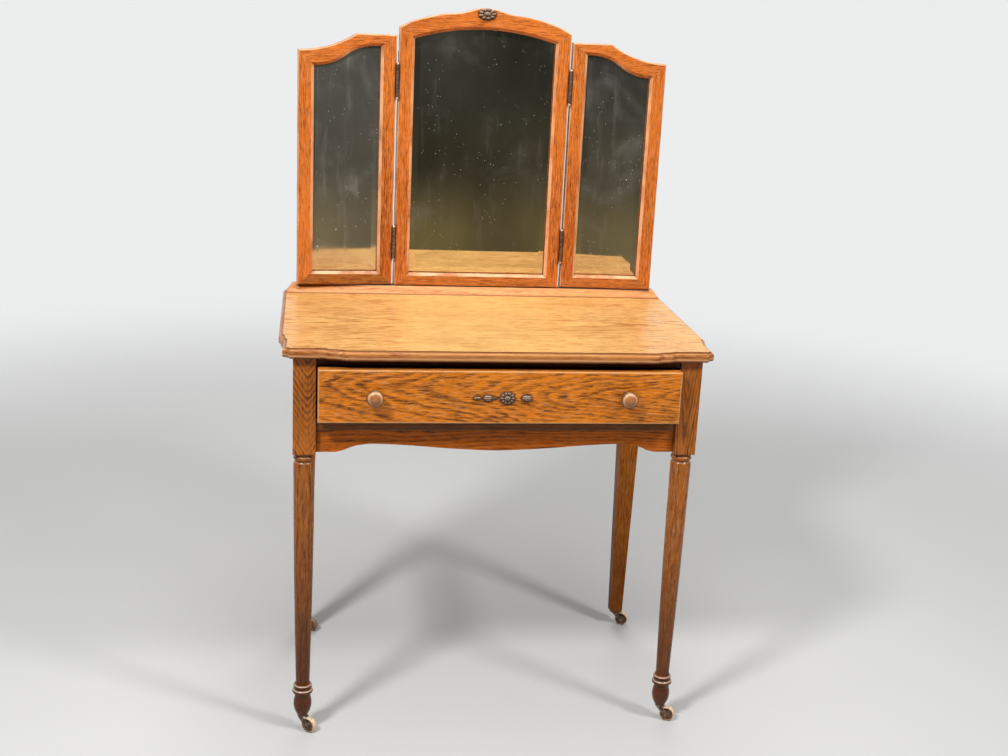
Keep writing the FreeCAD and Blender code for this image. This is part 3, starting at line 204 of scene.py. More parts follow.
# Noises that bend, fray and cloud the figure, and the dashes along its grain.
DRIFT_STRETCH = (0.3, 1.0, 1.0)
RAGGED_NOISE = {"scale": 260.0, "detail": 2.5, "roughness": 0.6, "stretch": (0.09, 1.0, 1.0)}
HAIR_NOISE = {"scale": 620.0, "roughness": 0.65, "stretch": (0.12, 1.0, 1.0)}
NOISE_MIDDLE = 0.5
CLOUD_MIDDLE = 0.44
DASHES = {"length": 9.0, "scale": 380.0, "low": 0.42, "high": 0.6}
FLECKS = {"length": 8.0, "scale": 250.0, "low": 0.5, "high": 0.68}
FLECK_SHIFT = (0.7, 0.3, 0.5)
# Painted highlights: pale glints along the grain, as light caught by the open grain.
GLINTS = {"length": 11.0, "scale": 430.0, "low": 0.5, "high": 0.7}
GLINT_SHIFT = (0.2, 0.9, 0.1)
PORES = {"length": 16.0, "scale": 900.0, "low": 0.52, "high": 0.68, "detail": 1.0}
# The dark part of a year's ring, in shares of its width, and the strength of the weakest year.
EARLY_WOOD = (0.0, 0.2, 0.3, 0.9)
WEAKEST_YEAR = 0.4
# Pores between the rings have this share of the strength of those in them.
STRAY_PORES = 0.4
# The depth of a ring beside that of a pore.
RING_DEPTH = 0.5
# Dirt and painted shade in hollows are patchy: the least of them, and how much more there is at most.
HOLLOW_DARK_SPREAD = 0.8
HOLLOW_DARK_LEAST = 0.6


def oak_figure():
    """Growth rings about a leaning pith, short pores and slow changes of tone; the grain runs along X."""
    def build(s, entry):
        vector = entry["Vector"]
        slow = s.vector("MULTIPLY", vector, DRIFT_STRETCH)
        drift = s.noise(slow, entry["Wave Scale"], detail=2.5, output="Color")
        drift = s.vector("SUBTRACT", drift, (NOISE_MIDDLE,) * 3)
        drift = s.vector("MULTIPLY", drift, entry["Wave"])
        parts = s.split(s.vector("ADD", s.vector("SUBTRACT", vector, entry["Pith"]), drift))
        lean = s.split(entry["Lean"])
        across = s.times_plus(parts[0], lean[1], parts[1])
        deep = s.times_plus(parts[0], lean[2], parts[2])
        radius = s.math("SQRT", s.times_plus(across, across, s.times(deep, deep)))
        cone = s.times_plus(parts[0], entry["Taper"], radius)
        ragged = s.noise(vector, **RAGGED_NOISE)
        phase = s.times_plus(ragged, entry["Ragged"], s.math("DIVIDE", cone, entry["Ring Width"]))
        year = s.node("ShaderNodeTexWhiteNoise", {"W": s.math("FLOOR", phase)}, noise_dimensions="1D")
        strength = s.times_plus(year.outputs["Value"], 1 - WEAKEST_YEAR, WEAKEST_YEAR)
        early = s.times(s.between(s.math("FRACT", phase), EARLY_WOOD), strength)
        gap = s.times(s.minus(1.0, s.streaks(vector, **DASHES)), entry["Broken"])
        line = s.times(early, s.minus(1.0, gap))
        fleck = s.streaks(s.vector("ADD", vector, FLECK_SHIFT), **FLECKS)
        cloud = s.minus(s.noise(slow, scale=13.0, detail=3.0), CLOUD_MIDDLE)
        hair = s.minus(s.noise(vector, **HAIR_NOISE), NOISE_MIDDLE)
        tone = s.times(line, entry["Contrast"])
        tone = s.times_plus(fleck, entry["Fleck"], tone)
        tone = s.times_plus(cloud, entry["Cloud"], tone)
        tone = s.times_plus(hair, entry["Fine"], tone, clamp=True)
        color = s.mix(tone, entry["Light"], entry["Dark"])
        # Painted highlight: pale glints mixed in along the grain.
        glint = s.streaks(s.vector("ADD", vector, GLINT_SHIFT), **GLINTS)
        color = s.mix(s.times(glint, entry["Pale"]), color, entry["Pale Color"])
        pores = s.times(s.streaks(vector, **PORES), s.times_plus(early, 1 - STRAY_PORES, STRAY_PORES))
        speck = s.times(pores, entry["Pore Strength"])
        color = s.mix(speck, color, entry["Pore Color"])
        return {"Color": color, "Height": s.minus(1.0, s.times_plus(line, RING_DEPTH, speck))}

    return shader_group("oak_figure", FIGURE_INPUTS, [("Color", "color"), ("Height", "float")], build)


def edge_wear():
    """Where edges are rubbed, and a normal that rounds them a little."""
    def build(s, entry):
        rounded = s.node("ShaderNodeBevel", {"Radius": entry["Radius"]}, samples=4).outputs[0]
        true = s.node("ShaderNodeNewGeometry").outputs["Normal"]
        bend = s.minus(1.0, s.vector("DOT_PRODUCT", rounded, true))
        patches = s.noise(s.place(), entry["Patch Scale"], detail=3.0)
        edge = s.band(bend, low=0.01, high=0.14)
        mask = s.times(edge, s.band(patches, low=0.34, high=0.56), clamp=True)
        return {"Mask": s.times(mask, entry["Amount"], clamp=True), "Normal": rounded}

    return shader_group(
        "edge_wear",
        [("Radius", "float", 0.0012), ("Patch Scale", "float", 45.0), ("Amount", "float", 0.7)],
        [("Mask", "float"), ("Normal", "vector")], build)


def hollow_dirt():
    """Dark dirt and old varnish, with painted shade, where a shape is hollow."""
    def build(s, entry):
        closed = s.fall(s.openness(entry["Distance"]), low=0.45, high=0.98)
        patches = s.times_plus(s.noise(s.place(), scale=60.0), HOLLOW_DARK_SPREAD, HOLLOW_DARK_LEAST)
        mask = s.times(closed, patches, clamp=True)
        return {"Mask": s.times(mask, entry["Amount"], clamp=True)}

    return shader_group("hollow_dirt", [("Distance", "float", 0.008), ("Amount", "float", 0.8)],
                        [("Mask", "float")], build)


def tinted(color, red, green, blue):
    """A colour with each of its parts changed by a share."""
    return (color[0] * red, color[1] * green, color[2] * blue, 1.0)


def shade(color, share):
    """The same colour, darker or lighter."""
    return tinted(color, share, share, share)


def color4(color):
    return shade(color, 1.0)


def glint_tone(color):
    """The tone of a painted highlight: a glint along the grain."""
    red, green, blue = color[0], color[1], color[2]
    return (min(1.0, red * 1.15), green * 1.45 + red * 0.05, blue + red * 0.14, 1.0)


def new_material(name):
    """A node material with a Principled BSDF, and a Shader to add to it."""
    material = bpy.data.materials.new(name)
    material.use_nodes = True
    surface = material.node_tree.nodes["Principled BSDF"]
    return material, Shader(material.node_tree), surface


def with_dirt_and_shade(s, color, tone, reach, amount):
    """A colour with dirt and painted shade of another tone in its hollows."""
    dirt = s.use(hollow_dirt(), {"Distance": reach, "Amount": amount})
    return s.mix(dirt["Mask"], color, tone)


# The order in which a board's own X, Y and Z are read, so that the grain comes first.
GRAIN_ORDERS = {"X": ("X", "Z", "Y"), "Y": ("Y", "X", "Z"), "Z": ("Z", "X", "Y")}


def sockets_of(looks):
    """Looks under the names of the oak figure's sockets, such as Ring Width for ring_width."""
    return {key.replace("_", " ").title(): value for key, value in looks.items()}


def cut_of(s, grain, light, dark, pore_shade, looks):
    """The oak figure's inputs for one board."""
    parts = s.split(s.place())
    axes = {axis: parts[source] for axis, source in zip("XYZ", GRAIN_ORDERS[grain])}
    return {"Vector": s.node("ShaderNodeCombineXYZ", axes).outputs[0], "Light": color4(light),
            "Dark": color4(dark), "Pale Color": glint_tone(light), "Pore Color": shade(dark, pore_shade),
            **sockets_of(looks)}


# A turned leg changes from its block to its round shaft over twice this length.
CUT_CHANGE = 0.002
PORE_SHADE = 0.4
DIRT_AND_SHADE_SHARE = 0.16
# How far the roughness of varnish goes below and above its usual value, and what rubbing adds.
SMOOTHER = 0.06
ROUGHER = 0.12
RUBBED_ROUGHER = 0.15
# Which slopes count as the upper side of a turned ring, and the heights between which its coat and its
# painted highlight grow weaker.
RING_SLOPES = (0.38, 0.56, 0.82, 0.93)
RING_HEIGHTS = (0.3, 0.45)
RING_SHARES = (0.62, 0.2)
FULL_COAT_AT = 0.6
RING_COATS = (0.03, 0.85)
# The pale tone of the painted highlight on the upper side of turned rings.
RING_HIGHLIGHT_TONE = (0.72, 0.5, 0.38, 1.0)


def oak_material(name, light, dark, grain="X", rough=0.34, gloss=0.25, coat=0.06, wear=0.7,
                 wear_radius=0.0012, dirt=0.6, dirt_and_shade_reach=0.006, below=None, marks=None, rounds=False,
                 **looks):
    """Varnished oak, with its own figure, rubbed edges, and dirt and painted shade in the corners."""
    material, s, surface = new_material(name)
    cut = cut_of(s, grain, light, dark, PORE_SHADE, looks)
    figure = s.use(oak_figure(), cut)
    color, height = figure["Color"], figure["Height"]
    if below:
        level, other = below
        lower = s.use(oak_figure(), {**cut, **sockets_of(other)})
        above = s.band(s.split(s.place())[2], level - CUT_CHANGE, level + CUT_CHANGE)
        color = s.mix(above, lower["Color"], color)
        height = s.mix(above, lower["Height"], height)
    if marks:
        color = marks(s, color, dark)
    worn = s.use(edge_wear(), {"Radius": wear_radius, "Amount": wear})
    color = s.mix(worn["Mask"], color, color4(bpy.context.scene.dressing_wood.rubbed))
    if rounds:
        # Varnish lies thick and shiny on the upper side of turned rings, which also gets a painted
        # highlight in a pale tone.
        dulled = s.band(s.split(s.place())[2], *RING_HEIGHTS, *RING_SHARES)
        upper = s.times(s.between(s.facing()[2], RING_SLOPES), dulled)
        coat = s.band(upper, 0.0, FULL_COAT_AT, *RING_COATS)
        color = s.mix(upper, color, RING_HIGHLIGHT_TONE)
    scuffs = s.noise(s.place(), scale=22.0, detail=3.0)
    roughness = s.band(scuffs, low=0.3, high=0.75, start=rough - SMOOTHER, end=rough + ROUGHER)
    s.feed(surface, {
        "Base Color": with_dirt_and_shade(s, color, shade(dark, DIRT_AND_SHADE_SHARE), dirt_and_shade_reach, dirt),
        "Roughness": s.times_plus(worn["Mask"], RUBBED_ROUGHER, roughness),
        "Specular IOR Level": gloss, "Coat Weight": coat, "Coat Roughness": 0.14,
        "Normal": s.bump(height, strength=0.4, distance=0.0002, normal=worn["Normal"])})
    return material


# Marks of the table top. The levels of its edge are drops below its upper face.
# Painted light: the stretch of the top where the middle mirror throws light down on it is painted paler.
LIT_STRETCH = (-0.2, -0.14, 0.0, 0.3)
LIT_STRETCH_TONE = (0.79, 0.48, 0.155, 1.0)
TOP_EDGE = (0.0026, 0.0042)
# Painted shade: the edge of the top, which faces the front, is tinted darker than its upper face.
TOP_EDGE_SHADE_TINT = (0.72, 0.52, 0.42, 1.0)
NOSE_SHADE = (0.0045, 0.008)
NOSE_UNDERSIDE = (0.0148, 0.0168)
# Painted shade under the nose of the top.
NOSE_UNDERSIDE_SHADE_TONE = (0.2, 0.07, 0.018, 1.0)
NOSE_GLINT = (0.0112, 0.0128, 0.0142, 0.0152)
NOSE_GLINT_TONE = (1.0, 0.78, 0.5, 1.0)
QUIRK = (0.0, 0.0003, 0.003, 0.0036)


def top_marks(level):
    """A stretch painted paler where light from the middle mirror falls, painted shade on the edge and under
    its nose, a painted glint along the nose, and a dark line in the small step round it.
    """
    def marks(s, color, dark):
        parts = s.split(s.place())
        drop = s.minus(level, parts[2])
        color = s.stain(color, s.between(parts[0], LIT_STRETCH), LIT_STRETCH_TONE, strength=0.36)
        edge = s.band(drop, *TOP_EDGE)
        # Painted shade under the nose and down the edge.
        under = s.larger(s.band(drop, *NOSE_UNDERSIDE, end=0.85), s.band(drop, *NOSE_SHADE, end=0.3))
        color = s.mix(s.times(under, edge), color, NOSE_UNDERSIDE_SHADE_TONE)
        # Painted highlight: a pale glint along the nose.
        color = s.stain(color, s.between(drop, NOSE_GLINT), NOSE_GLINT_TONE, strength=0.45)
        color = s.mix(edge, color, TOP_EDGE_SHADE_TINT, blend="MULTIPLY")
        return s.stain(color, s.between(drop, QUIRK), shade(dark, 0.7), strength=0.85)
    return marks


JOINT_DARK_BAND = (0.0006, 0.0022)


def joint_line(level):
    """Old varnish and dirt, with painted shade, along the foot of a board that stands on another one."""
    def marks(s, color, dark):
        line = s.fall(s.minus(s.split(s.place())[2], level), *JOINT_DARK_BAND, start=0.8)
        return s.mix(line, color, shade(dark, 0.6))
    return marks


# The rim of the drawer front: the shares of its width where it is whole and where it ends, and how far
# round the edge it goes.
RIM_WHOLE = 0.1
RIM_END = 0.6
RIM_DEEP = (0.001, 0.003)
RIM_TONE = (0.7, 0.36, 0.12, 1.0)
STAIN_NOISE = {"scale": 21.0, "detail": 3.0, "stretch": (0.5, 1.0, 1.0)}


def rubbed_rim(node, wide):
    """Finish that has gone along the outline of a drawer front, and dark stains on its face."""
    low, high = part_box(node)

    def marks(s, color, dark):
        place = s.place()
        parts = s.split(place)
        edge = s.minus(parts[2], low.z)
        for gap in (s.minus(high.z, parts[2]), s.minus(parts[0], low.x), s.minus(high.x, parts[0])):
            edge = s.math("MINIMUM", edge, gap)
        edge = s.times_plus(s.noise(place, scale=70.0, detail=3.0), -wide, edge)
        front = s.fall(s.minus(parts[1], low.y), *RIM_DEEP, end=0.15)
        rim = s.times(s.fall(edge, wide * RIM_WHOLE, wide * RIM_END), front)
        stain = s.band(s.noise(place, **STAIN_NOISE), low=0.56, high=0.72, end=0.4)
        color = s.mix(stain, color, shade(dark, 1.1))
        return s.stain(color, rim, RIM_TONE, strength=0.62)
    return marks


# The parts of the facing direction that a sloping edge of a mirror frame has, and that a front has.
SLOPING = (0.25, 0.5, 0.88, 0.98)
FRONTWARD = (-0.3, -0.15)
SIGHT_EDGE_NOISE = {"scale": 26.0, "detail": 4.0, "stretch": (1.0, 1.0, 0.6)}
SIGHT_EDGE_HIGHLIGHT_TONE = (0.9, 0.5, 0.26, 1.0)


def sight_edge_highlights(s, color, dark):
    """Painted highlights, in patches, on the sloping sight edges of the mirror frames."""
    facing = s.facing()
    edge = s.between(s.larger(s.math("ABSOLUTE", facing[0]), facing[2]), SLOPING)
    front = s.fall(facing[1], *FRONTWARD)
    patches = s.band(s.noise(s.place(), **SIGHT_EDGE_NOISE), low=0.3, high=0.62, start=0.1, end=0.75)
    return s.mix(s.times(s.times(edge, front), patches), color, SIGHT_EDGE_HIGHLIGHT_TONE)


DARKEST_BELOW = 0.05
DARKENING_SPREAD = 0.5


def darker_toward_floor(height, share):
    """Wood that darkens toward the floor: partly darker wood, partly painted shade."""
    def marks(s, color, dark):
        cloud = s.times_plus(s.noise(s.place(), scale=30.0), DARKENING_SPREAD, share)
        darkening = s.times(s.fall(s.split(s.place())[2], DARKEST_BELOW, height), cloud)
        return s.mix(darkening, color, shade(dark, 0.9))
    return marks


# Levels of a noise between which most finishes change from smooth to rough.
PATCHY = (0.3, 0.7)
BARE_PORE_SHADE = 0.5
BARE_LOOKS = {"pith": (0.0, 0.55, 0.33), "lean": (0.0, 0.04, 0.03), "ring_width": 0.011, "contrast": 0.6,
              "pore_strength": 0.4, "fine": 0.4, "pale": 0.0}


def bare_wood_material(name, light, dark, grain):
    """Bare wood of hidden boards."""
    material, s, surface = new_material(name)
    figure = s.use(oak_figure(), cut_of(s, grain, light, dark, BARE_PORE_SHADE, BARE_LOOKS))
    stains = s.noise(s.place(), scale=15.0, detail=3.0)
    s.feed(surface, {
        "Base Color": with_dirt_and_shade(s, figure["Color"], shade(dark, 0.35), reach=0.02, amount=0.6),
        "Roughness": s.band(stains, *PATCHY, start=0.6, end=0.85),
        "Normal": s.bump(figure["Height"], strength=0.5, distance=0.0003)})
    return material


CARVING_HIGHLIGHT_TONE = (0.55, 0.38, 0.26, 1.0)
RUBBED_CARVING_SHADE = 2.6


def carving_material(name, box):
    """Dark stained carving with its high spots rubbed, painted highlights on its upper sides and painted
    shade in its hollows, on its lower sides and round its foot; it stands proud of a face that looks along
    -Y.
    """
    material, s, surface = new_material(name)
    wood = bpy.context.scene.dressing_wood
    hollow, high = color4(wood.carving_low), color4(wood.carving_high)
    face = box[1].y
    proud = face - box[0].y
    patches = s.noise(s.place(), scale=420.0, detail=3.0)
    worn = s.use(edge_wear(), {"Radius": 0.0008, "Amount": 0.9, "Patch Scale": 240.0})
    # Dark in its hollows: dark stain and painted shade.
    open_places = s.band(s.openness(distance=0.003), low=0.5, high=1.0)
    color = s.mix(s.times(open_places, s.band(patches, low=0.25, high=0.5)), hollow, high)
    color = s.mix(worn["Mask"], color, shade(high, RUBBED_CARVING_SHADE))
    # Painted highlight on the upper sides and painted shade on the lower sides.
    upward = s.facing()[2]
    color = s.mix(s.band(upward, low=0.2, high=0.6, end=0.48), color, CARVING_HIGHLIGHT_TONE)
    color = s.mix(s.fall(upward, low=-0.5, high=-0.08, start=0.85), color, hollow)
    # Painted shade round the foot of the carving, where it meets the face.
    lift = s.math("DIVIDE", s.minus(face, s.split(s.place())[1]), proud)
    color = s.mix(s.fall(lift, low=0.2, high=0.75, start=0.95), color, hollow)
    s.feed(surface, {
        "Base Color": color, "Roughness": s.band(patches, *PATCHY, start=0.26, end=0.42),
        "Specular IOR Level": 0.3, "Coat Weight": 0.22, "Coat Roughness": 0.14,
        "Normal": s.bump(patches, strength=0.4, distance=0.0003, normal=worn["Normal"])})
    return material


# Zones of a knob's face, in shares of its radius: its reddish heart, its painted rim highlight, its painted
# shadow below and the painted shade round its side.
KNOB_HEART = (0.6, 0.78)
KNOB_RIM = (0.66, 0.78, 0.86, 0.95)
KNOB_SHADOW = (-0.9, 0.15)
KNOB_EDGE = (0.9, 1.0)
KNOB_RIM_HIGHLIGHT_TONE = (0.8, 0.5, 0.27, 1.0)
# Its face ends at these depths behind its front, and its zones wander by this much.
KNOB_FACE = (0.006, 0.009)
KNOB_WANDER = 0.002
# How much of its dark tone comes from its fine lines, and how much from clouds.
KNOB_LINE_SHARE = 0.6
KNOB_CLOUD_SHARE = 0.4
KNOB_LINES = {"scale": 620.0, "detail": 3.0, "stretch": (1.0, 0.15, 0.35)}


def knob_material(name, light, dark, core):
    """Turned wood with a painted highlight round its rim, painted shade below and round its side, and end
    grain that shows as fine lines across its face.
    """
    material, s, surface = new_material(name)
    low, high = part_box("drawer_knobs")
    radius = (high.z - low.z) / 2
    half_span = (high.x - low.x) / 2 - radius
    place = s.place()
    lines = s.noise(place, **KNOB_LINES)
    cloud = s.noise(place, scale=85.0)
    parts = s.split(s.vector("SUBTRACT", place, tuple((low + high) / 2)))
    aside = s.minus(s.math("ABSOLUTE", parts[0]), half_span)
    out = s.vector("LENGTH", s.node("ShaderNodeCombineXYZ", {"X": aside, "Z": parts[2]}).outputs[0])
    out = s.math("DIVIDE", s.times_plus(cloud, KNOB_WANDER, out), radius)
    face = s.fall(s.minus(s.split(place)[1], low.y), *KNOB_FACE)
    tone = s.times_plus(s.band(lines, low=0.42, high=0.66), KNOB_LINE_SHARE,
                        s.times(cloud, KNOB_CLOUD_SHARE))
    color = s.mix(tone, color4(light), color4(dark))
    color = s.mix(s.times(face, s.fall(out, *KNOB_HEART, start=0.6)), color, color4(core))
    color = s.stain(color, s.between(out, KNOB_RIM), KNOB_RIM_HIGHLIGHT_TONE, strength=0.5)
    shadow = s.fall(s.math("DIVIDE", parts[2], radius), *KNOB_SHADOW, start=0.62)
    color = s.mix(shadow, color, shade(dark, 0.6))
    # Painted shade round the side of the knob.
    color = s.mix(s.band(out, *KNOB_EDGE, end=0.8), color, shade(dark, 0.35))
    s.feed(surface, {
        "Base Color": with_dirt_and_shade(s, color, shade(dark, 0.18), reach=0.012, amount=1.0),
        "Roughness": s.band(cloud, *PATCHY, start=0.28, end=0.42),
        "Specular IOR Level": 0.35, "Coat Weight": 0.1, "Coat Roughness": 0.16,
        "Normal": s.bump(lines, strength=0.25, distance=0.0002)})
    return material


# The span of noise over which patina comes up, and the share of metal that shows through it.
PATINA_SPAN = 0.26
PATINA_METAL = 0.5


def metal_material(name, bright, stained, rough, scale=220.0, patina_from=0.34, metallic=1.0):
    """Old metal with a dark patina that is rubbed off at its edges."""
    material, s, surface = new_material(name)
    patches = s.noise(s.place(), scale, detail=4.0, roughness=0.65)
    worn = s.use(edge_wear(), {"Radius": 0.0006, "Amount": 0.9, "Patch Scale": scale})
    patina = s.band(patches, patina_from, patina_from + PATINA_SPAN)
    color = s.mix(patina, color4(bright), color4(stained))
    s.feed(surface, {
        "Base Color": s.mix(worn["Mask"], color, color4(bright)),
        "Metallic": s.band(patina, 0.0, 1.0, start=metallic, end=metallic * PATINA_METAL),
        "Roughness": s.band(patches, *PATCHY, start=rough, end=rough + 0.25),
        "Normal": s.bump(patches, strength=0.25, distance=0.0002, normal=worn["Normal"])})
    return material


def wheel_material(name, light, dark, dirt):
    """Worn wood of a wheel: cream on its tread, stained brown on its faces."""
    material, s, surface = new_material(name)
    patches = s.noise(s.place(), scale=160.0, detail=3.0)
    color = s.mix(s.band(patches, low=0.4, high=0.7), color4(light), color4(dark))
    s.feed(surface, {
        "Base Color": with_dirt_and_shade(s, color, shade(dark, 0.15), reach=0.004, amount=dirt),
        "Roughness": s.band(patches, *PATCHY, start=0.42, end=0.65),
        "Normal": s.bump(s.noise(s.place(), scale=900.0), strength=0.25, distance=0.0003)})
    return material


# What each flaw of the silvering adds to the veil over a mirror, and the noises that draw them.
CLOUD_VEIL = 0.11
SMEAR_VEIL = 0.09
SCRATCH_VEIL = 0.06
SPOT_VEIL = 0.8
SPECK_VEIL = 0.75
HAZE_NOISE = {"scale": 9.0, "detail": 5.0, "roughness": 0.62, "distortion": 0.4}
SMEAR_NOISE = {"scale": 60.0, "detail": 4.0, "roughness": 0.7, "stretch": (1.0, 1.0, 0.12)}
SCRATCH_NOISE = {"scale": 240.0, "detail": 3.0, "roughness": 0.7, "stretch": (0.2, 1.0, 1.0)}


def mirror_material(name, tint, haze, film):
    """Old silvering: a film of dust, hazy clouds, upright smears and small pale spots."""
    material, s, surface = new_material(name)
    place = s.place()
    clouds = s.band(s.noise(place, **HAZE_NOISE), low=0.46, high=0.78)
    smears = s.band(s.noise(place, **SMEAR_NOISE), low=0.5, high=0.78)
    scratches = s.band(s.noise(place, **SCRATCH_NOISE), low=0.64, high=0.72)
    spotted = s.band(s.noise(place, scale=31.0, detail=1.0), low=0.48, high=0.56)
    spots = s.times(s.spots(place, scale=34.0, small=0.02, large=0.06), spotted)
    specked = s.band(s.noise(place, scale=17.0, detail=1.0), low=0.44, high=0.54)
    specks = s.times(s.spots(place, scale=130.0, small=0.05, large=0.1), specked)
    veil = s.times_plus(clouds, CLOUD_VEIL, s.times(smears, SMEAR_VEIL))
    veil = s.math("ADD", veil, s.times_plus(scratches, SCRATCH_VEIL, film))
    veil = s.larger(s.larger(veil, s.times(spots, SPOT_VEIL)), s.times(specks, SPECK_VEIL))
    s.feed(surface, {
        "Base Color": s.mix(veil, color4(tint), color4(haze)),
        "Metallic": s.fall(veil, 0.0, 1.0),
        "Roughness": s.band(veil, 0.0, 0.8, start=0.012, end=0.5)})
    return material


def dress(material, *names):
    """Give CAD nodes a material in place of the plain one that they come with."""
    for name in names:
        piece = NODES[name]
        if not piece.material_slots:
            piece.data.materials.append(material)
        for slot in piece.material_slots:
            slot.material = material


def dress_bare(wood, boards):
    """Give hidden boards their bare wood; each row has a finish, its grain axis and its nodes."""
    for name, grain, nodes in boards:
        dress(bare_wood_material(name, wood.bare_light, wood.bare_dark, grain), *nodes)


# Mesh building
CLOSE = 1e-6
STRAIGHT = 1 - 1e-7
PARALLEL = 1e-9
FRONT_FACING = -0.9


def mesh_object(name, bm, material, smooth=True):
    mesh = bpy.data.meshes.new(name)
    bmesh.ops.recalc_face_normals(bm, faces=bm.faces)
    bm.to_mesh(mesh)
    bm.free()
    for polygon in mesh.polygons:
        polygon.use_smooth = smooth
    piece = bpy.data.objects.new(name, mesh)
    mesh.materials.append(material)
    bpy.context.scene.collection.objects.link(piece)
    return piece


def front_outline(node):
    """The outline of a pane's front face, in order, with the face's outward direction."""
    bm = bmesh.new()
    bm.from_mesh(node.data)
    bmesh.ops.remove_doubles(bm, verts=bm.verts, dist=CLOSE)
    faces = [face for face in bm.faces if face.normal.y < FRONT_FACING]
    direction = sum((face.normal * face.calc_area() for face in faces), Vector()).normalized()
    chosen = set(faces)
    follow = {}
    for face in faces:
        for loop in face.loops:
            if any(other not in chosen for other in loop.edge.link_faces):
                follow[tuple(loop.vert.co)] = tuple(loop.link_loop_next.vert.co)
    start = next(iter(follow))
    points = [Vector(start)]
    here = follow[start]
    while here != start:
        points.append(Vector(here))
        here = follow[here]
    bm.free()
    return points, direction


def drop_straight(points):
    """The outline without the points that lie on a straight run."""
    kept = []
    for before, here, after in zip(points[-1:] + points[:-1], points, points[1:] + points[:1]):
        if (here - before).normalized().dot((after - here).normalized()) < STRAIGHT:
            kept.append(here)
    return kept


def meet(first, second):
    """Where two lines in a plane cross, each given as a point and a direction."""
    (a, u), (b, v) = first, second
    cross = u.x * v.y - u.y * v.x
    if abs(cross) < PARALLEL:
        return b.copy()
    share = ((b.x - a.x) * v.y - (b.y - a.y) * v.x) / cross
    return a + u * share


def inset_outline(points, distance):
    """Each corner of a flat outline moved inward; corners that would pass each other share one mitre."""
    count = len(points)
    lines = []
    for index in range(count):
        run = (points[(index + 1) % count] - points[index]).normalized()
        inward = Vector((-run.y, run.x))
        lines.append((points[index] + inward * distance, run))
    live = list(range(count))
    while True:
        corners = {}
        for spot, edge in enumerate(live):
            corners[edge] = meet(lines[live[spot - 1]], lines[edge])
        turned = []
        for spot, edge in enumerate(live):
            after = live[(spot + 1) % len(live)]
            if (corners[after] - corners[edge]).dot(lines[edge][1]) < -PARALLEL:
                turned.append(edge)
        if not turned:
            break
        shortest = min(turned, key=lambda edge: (points[(edge + 1) % count] - points[edge]).length)
        live.remove(shortest)
    result = []
    for index in range(count):
        result.append(corners[next((edge for edge in live if edge >= index), live[0])])
    return result


def bevelled_glass(name, node, wide, deep, material):
    """A mirror plate in the place of its CAD pane, ground to a slope along its edge."""
    points, direction = front_outline(node)
    points = drop_straight(points)
    middle = sum(points, Vector()) / len(points)
    side = direction.cross(UP).normalized()
    flat = [Vector(((point - middle).dot(side), (point - middle).z)) for point in points]
    area = sum(a.x * b.y - b.x * a.y for a, b in zip(flat, flat[1:] + flat[:1]))
    if area < 0:
        flat.reverse()
    thick = max((vertex.co - middle).dot(-direction) for vertex in node.data.vertices)
    bm = bmesh.new()

    def ring(spots, depth):
        return [bm.verts.new(middle + side * spot.x + UP * spot.y - direction * depth) for spot in spots]

    top = ring(inset_outline(flat, wide), 0.0)
    rim = ring(flat, deep)
    back = ring(flat, thick)
    count = len(flat)
    for index in range(count):
        after = (index + 1) % count
        bm.faces.new((rim[index], rim[after], top[after], top[index]))
        bm.faces.new((back[index], back[after], rim[after], rim[index]))
    bm.faces.new(top)
    bm.faces.new(list(reversed(back)))
    bmesh.ops.remove_doubles(bm, verts=bm.verts, dist=CLOSE)
    bmesh.ops.triangulate(bm, faces=[face for face in bm.faces if len(face.verts) > 4])
    return mesh_object(name, bm, material, smooth=False)


def relief(name, middle, half_wide, half_high, proud, height_at, material, rings, spokes):
    """A carved boss on a front face: a round or oval grid whose height comes from a formula."""
    bm = bmesh.new()
    x0, y0, z0 = middle

    def spot(share, turn):
        edge, height = height_at(share, turn)
        return Vector((x0 + half_wide * share * edge * math.cos(turn), y0 - proud * height,
                       z0 + half_high * share * edge * math.sin(turn)))

    grid = []
    for ring in range(1, rings + 1):
        turns = [2 * math.pi * k / spokes for k in range(spokes)]
        grid.append([bm.verts.new(spot(ring / rings, turn)) for turn in turns])
    center = bm.verts.new(spot(0.0, 0.0))
    foot = [bm.verts.new(Vector((vertex.co.x, y0, vertex.co.z))) for vertex in grid[-1]]
    for k in range(spokes):
        after = (k + 1) % spokes
        bm.faces.new((center, grid[0][k], grid[0][after]))
        for inner, outer in zip(grid, grid[1:] + [foot]):
            bm.faces.new((inner[k], outer[k], outer[after], inner[after]))
    bm.faces.new(foot)
    return mesh_object(name, bm, material)


# A rosette, in shares of its radius and its height: its seeded middle, the dome under the seeds, and
# the petals with their lobes and veins.
SEEDED = 0.4
SEED_DOME = 0.42
SEED_HIGH = 0.08
DOME_FOOT = 0.62
LOBE_FULLNESS = 0.6
LOBE_NOTCH = 0.9
PETAL_FOOT = 0.3
PETAL_RISE = 0.5
PETAL_VALLEY = 0.35
PETAL_FULLNESS = 0.7
VEIN_DEEP = 0.1
# A bud, in the same shares.
BUD_FOOT = 0.22
BUD_FULLNESS = 2.4
BUD_RIDGE = 0.2
BUD_NOTCH = 0.1
BUD_SQUARENESS = 0.06
BEAD_FOOT = 0.2
BEAD_FULLNESS = 3


def dome(share, power=2.0):
    """The height of a rounded top at a share of its radius."""
    return math.sqrt(max(0.0, 1 - share ** power))


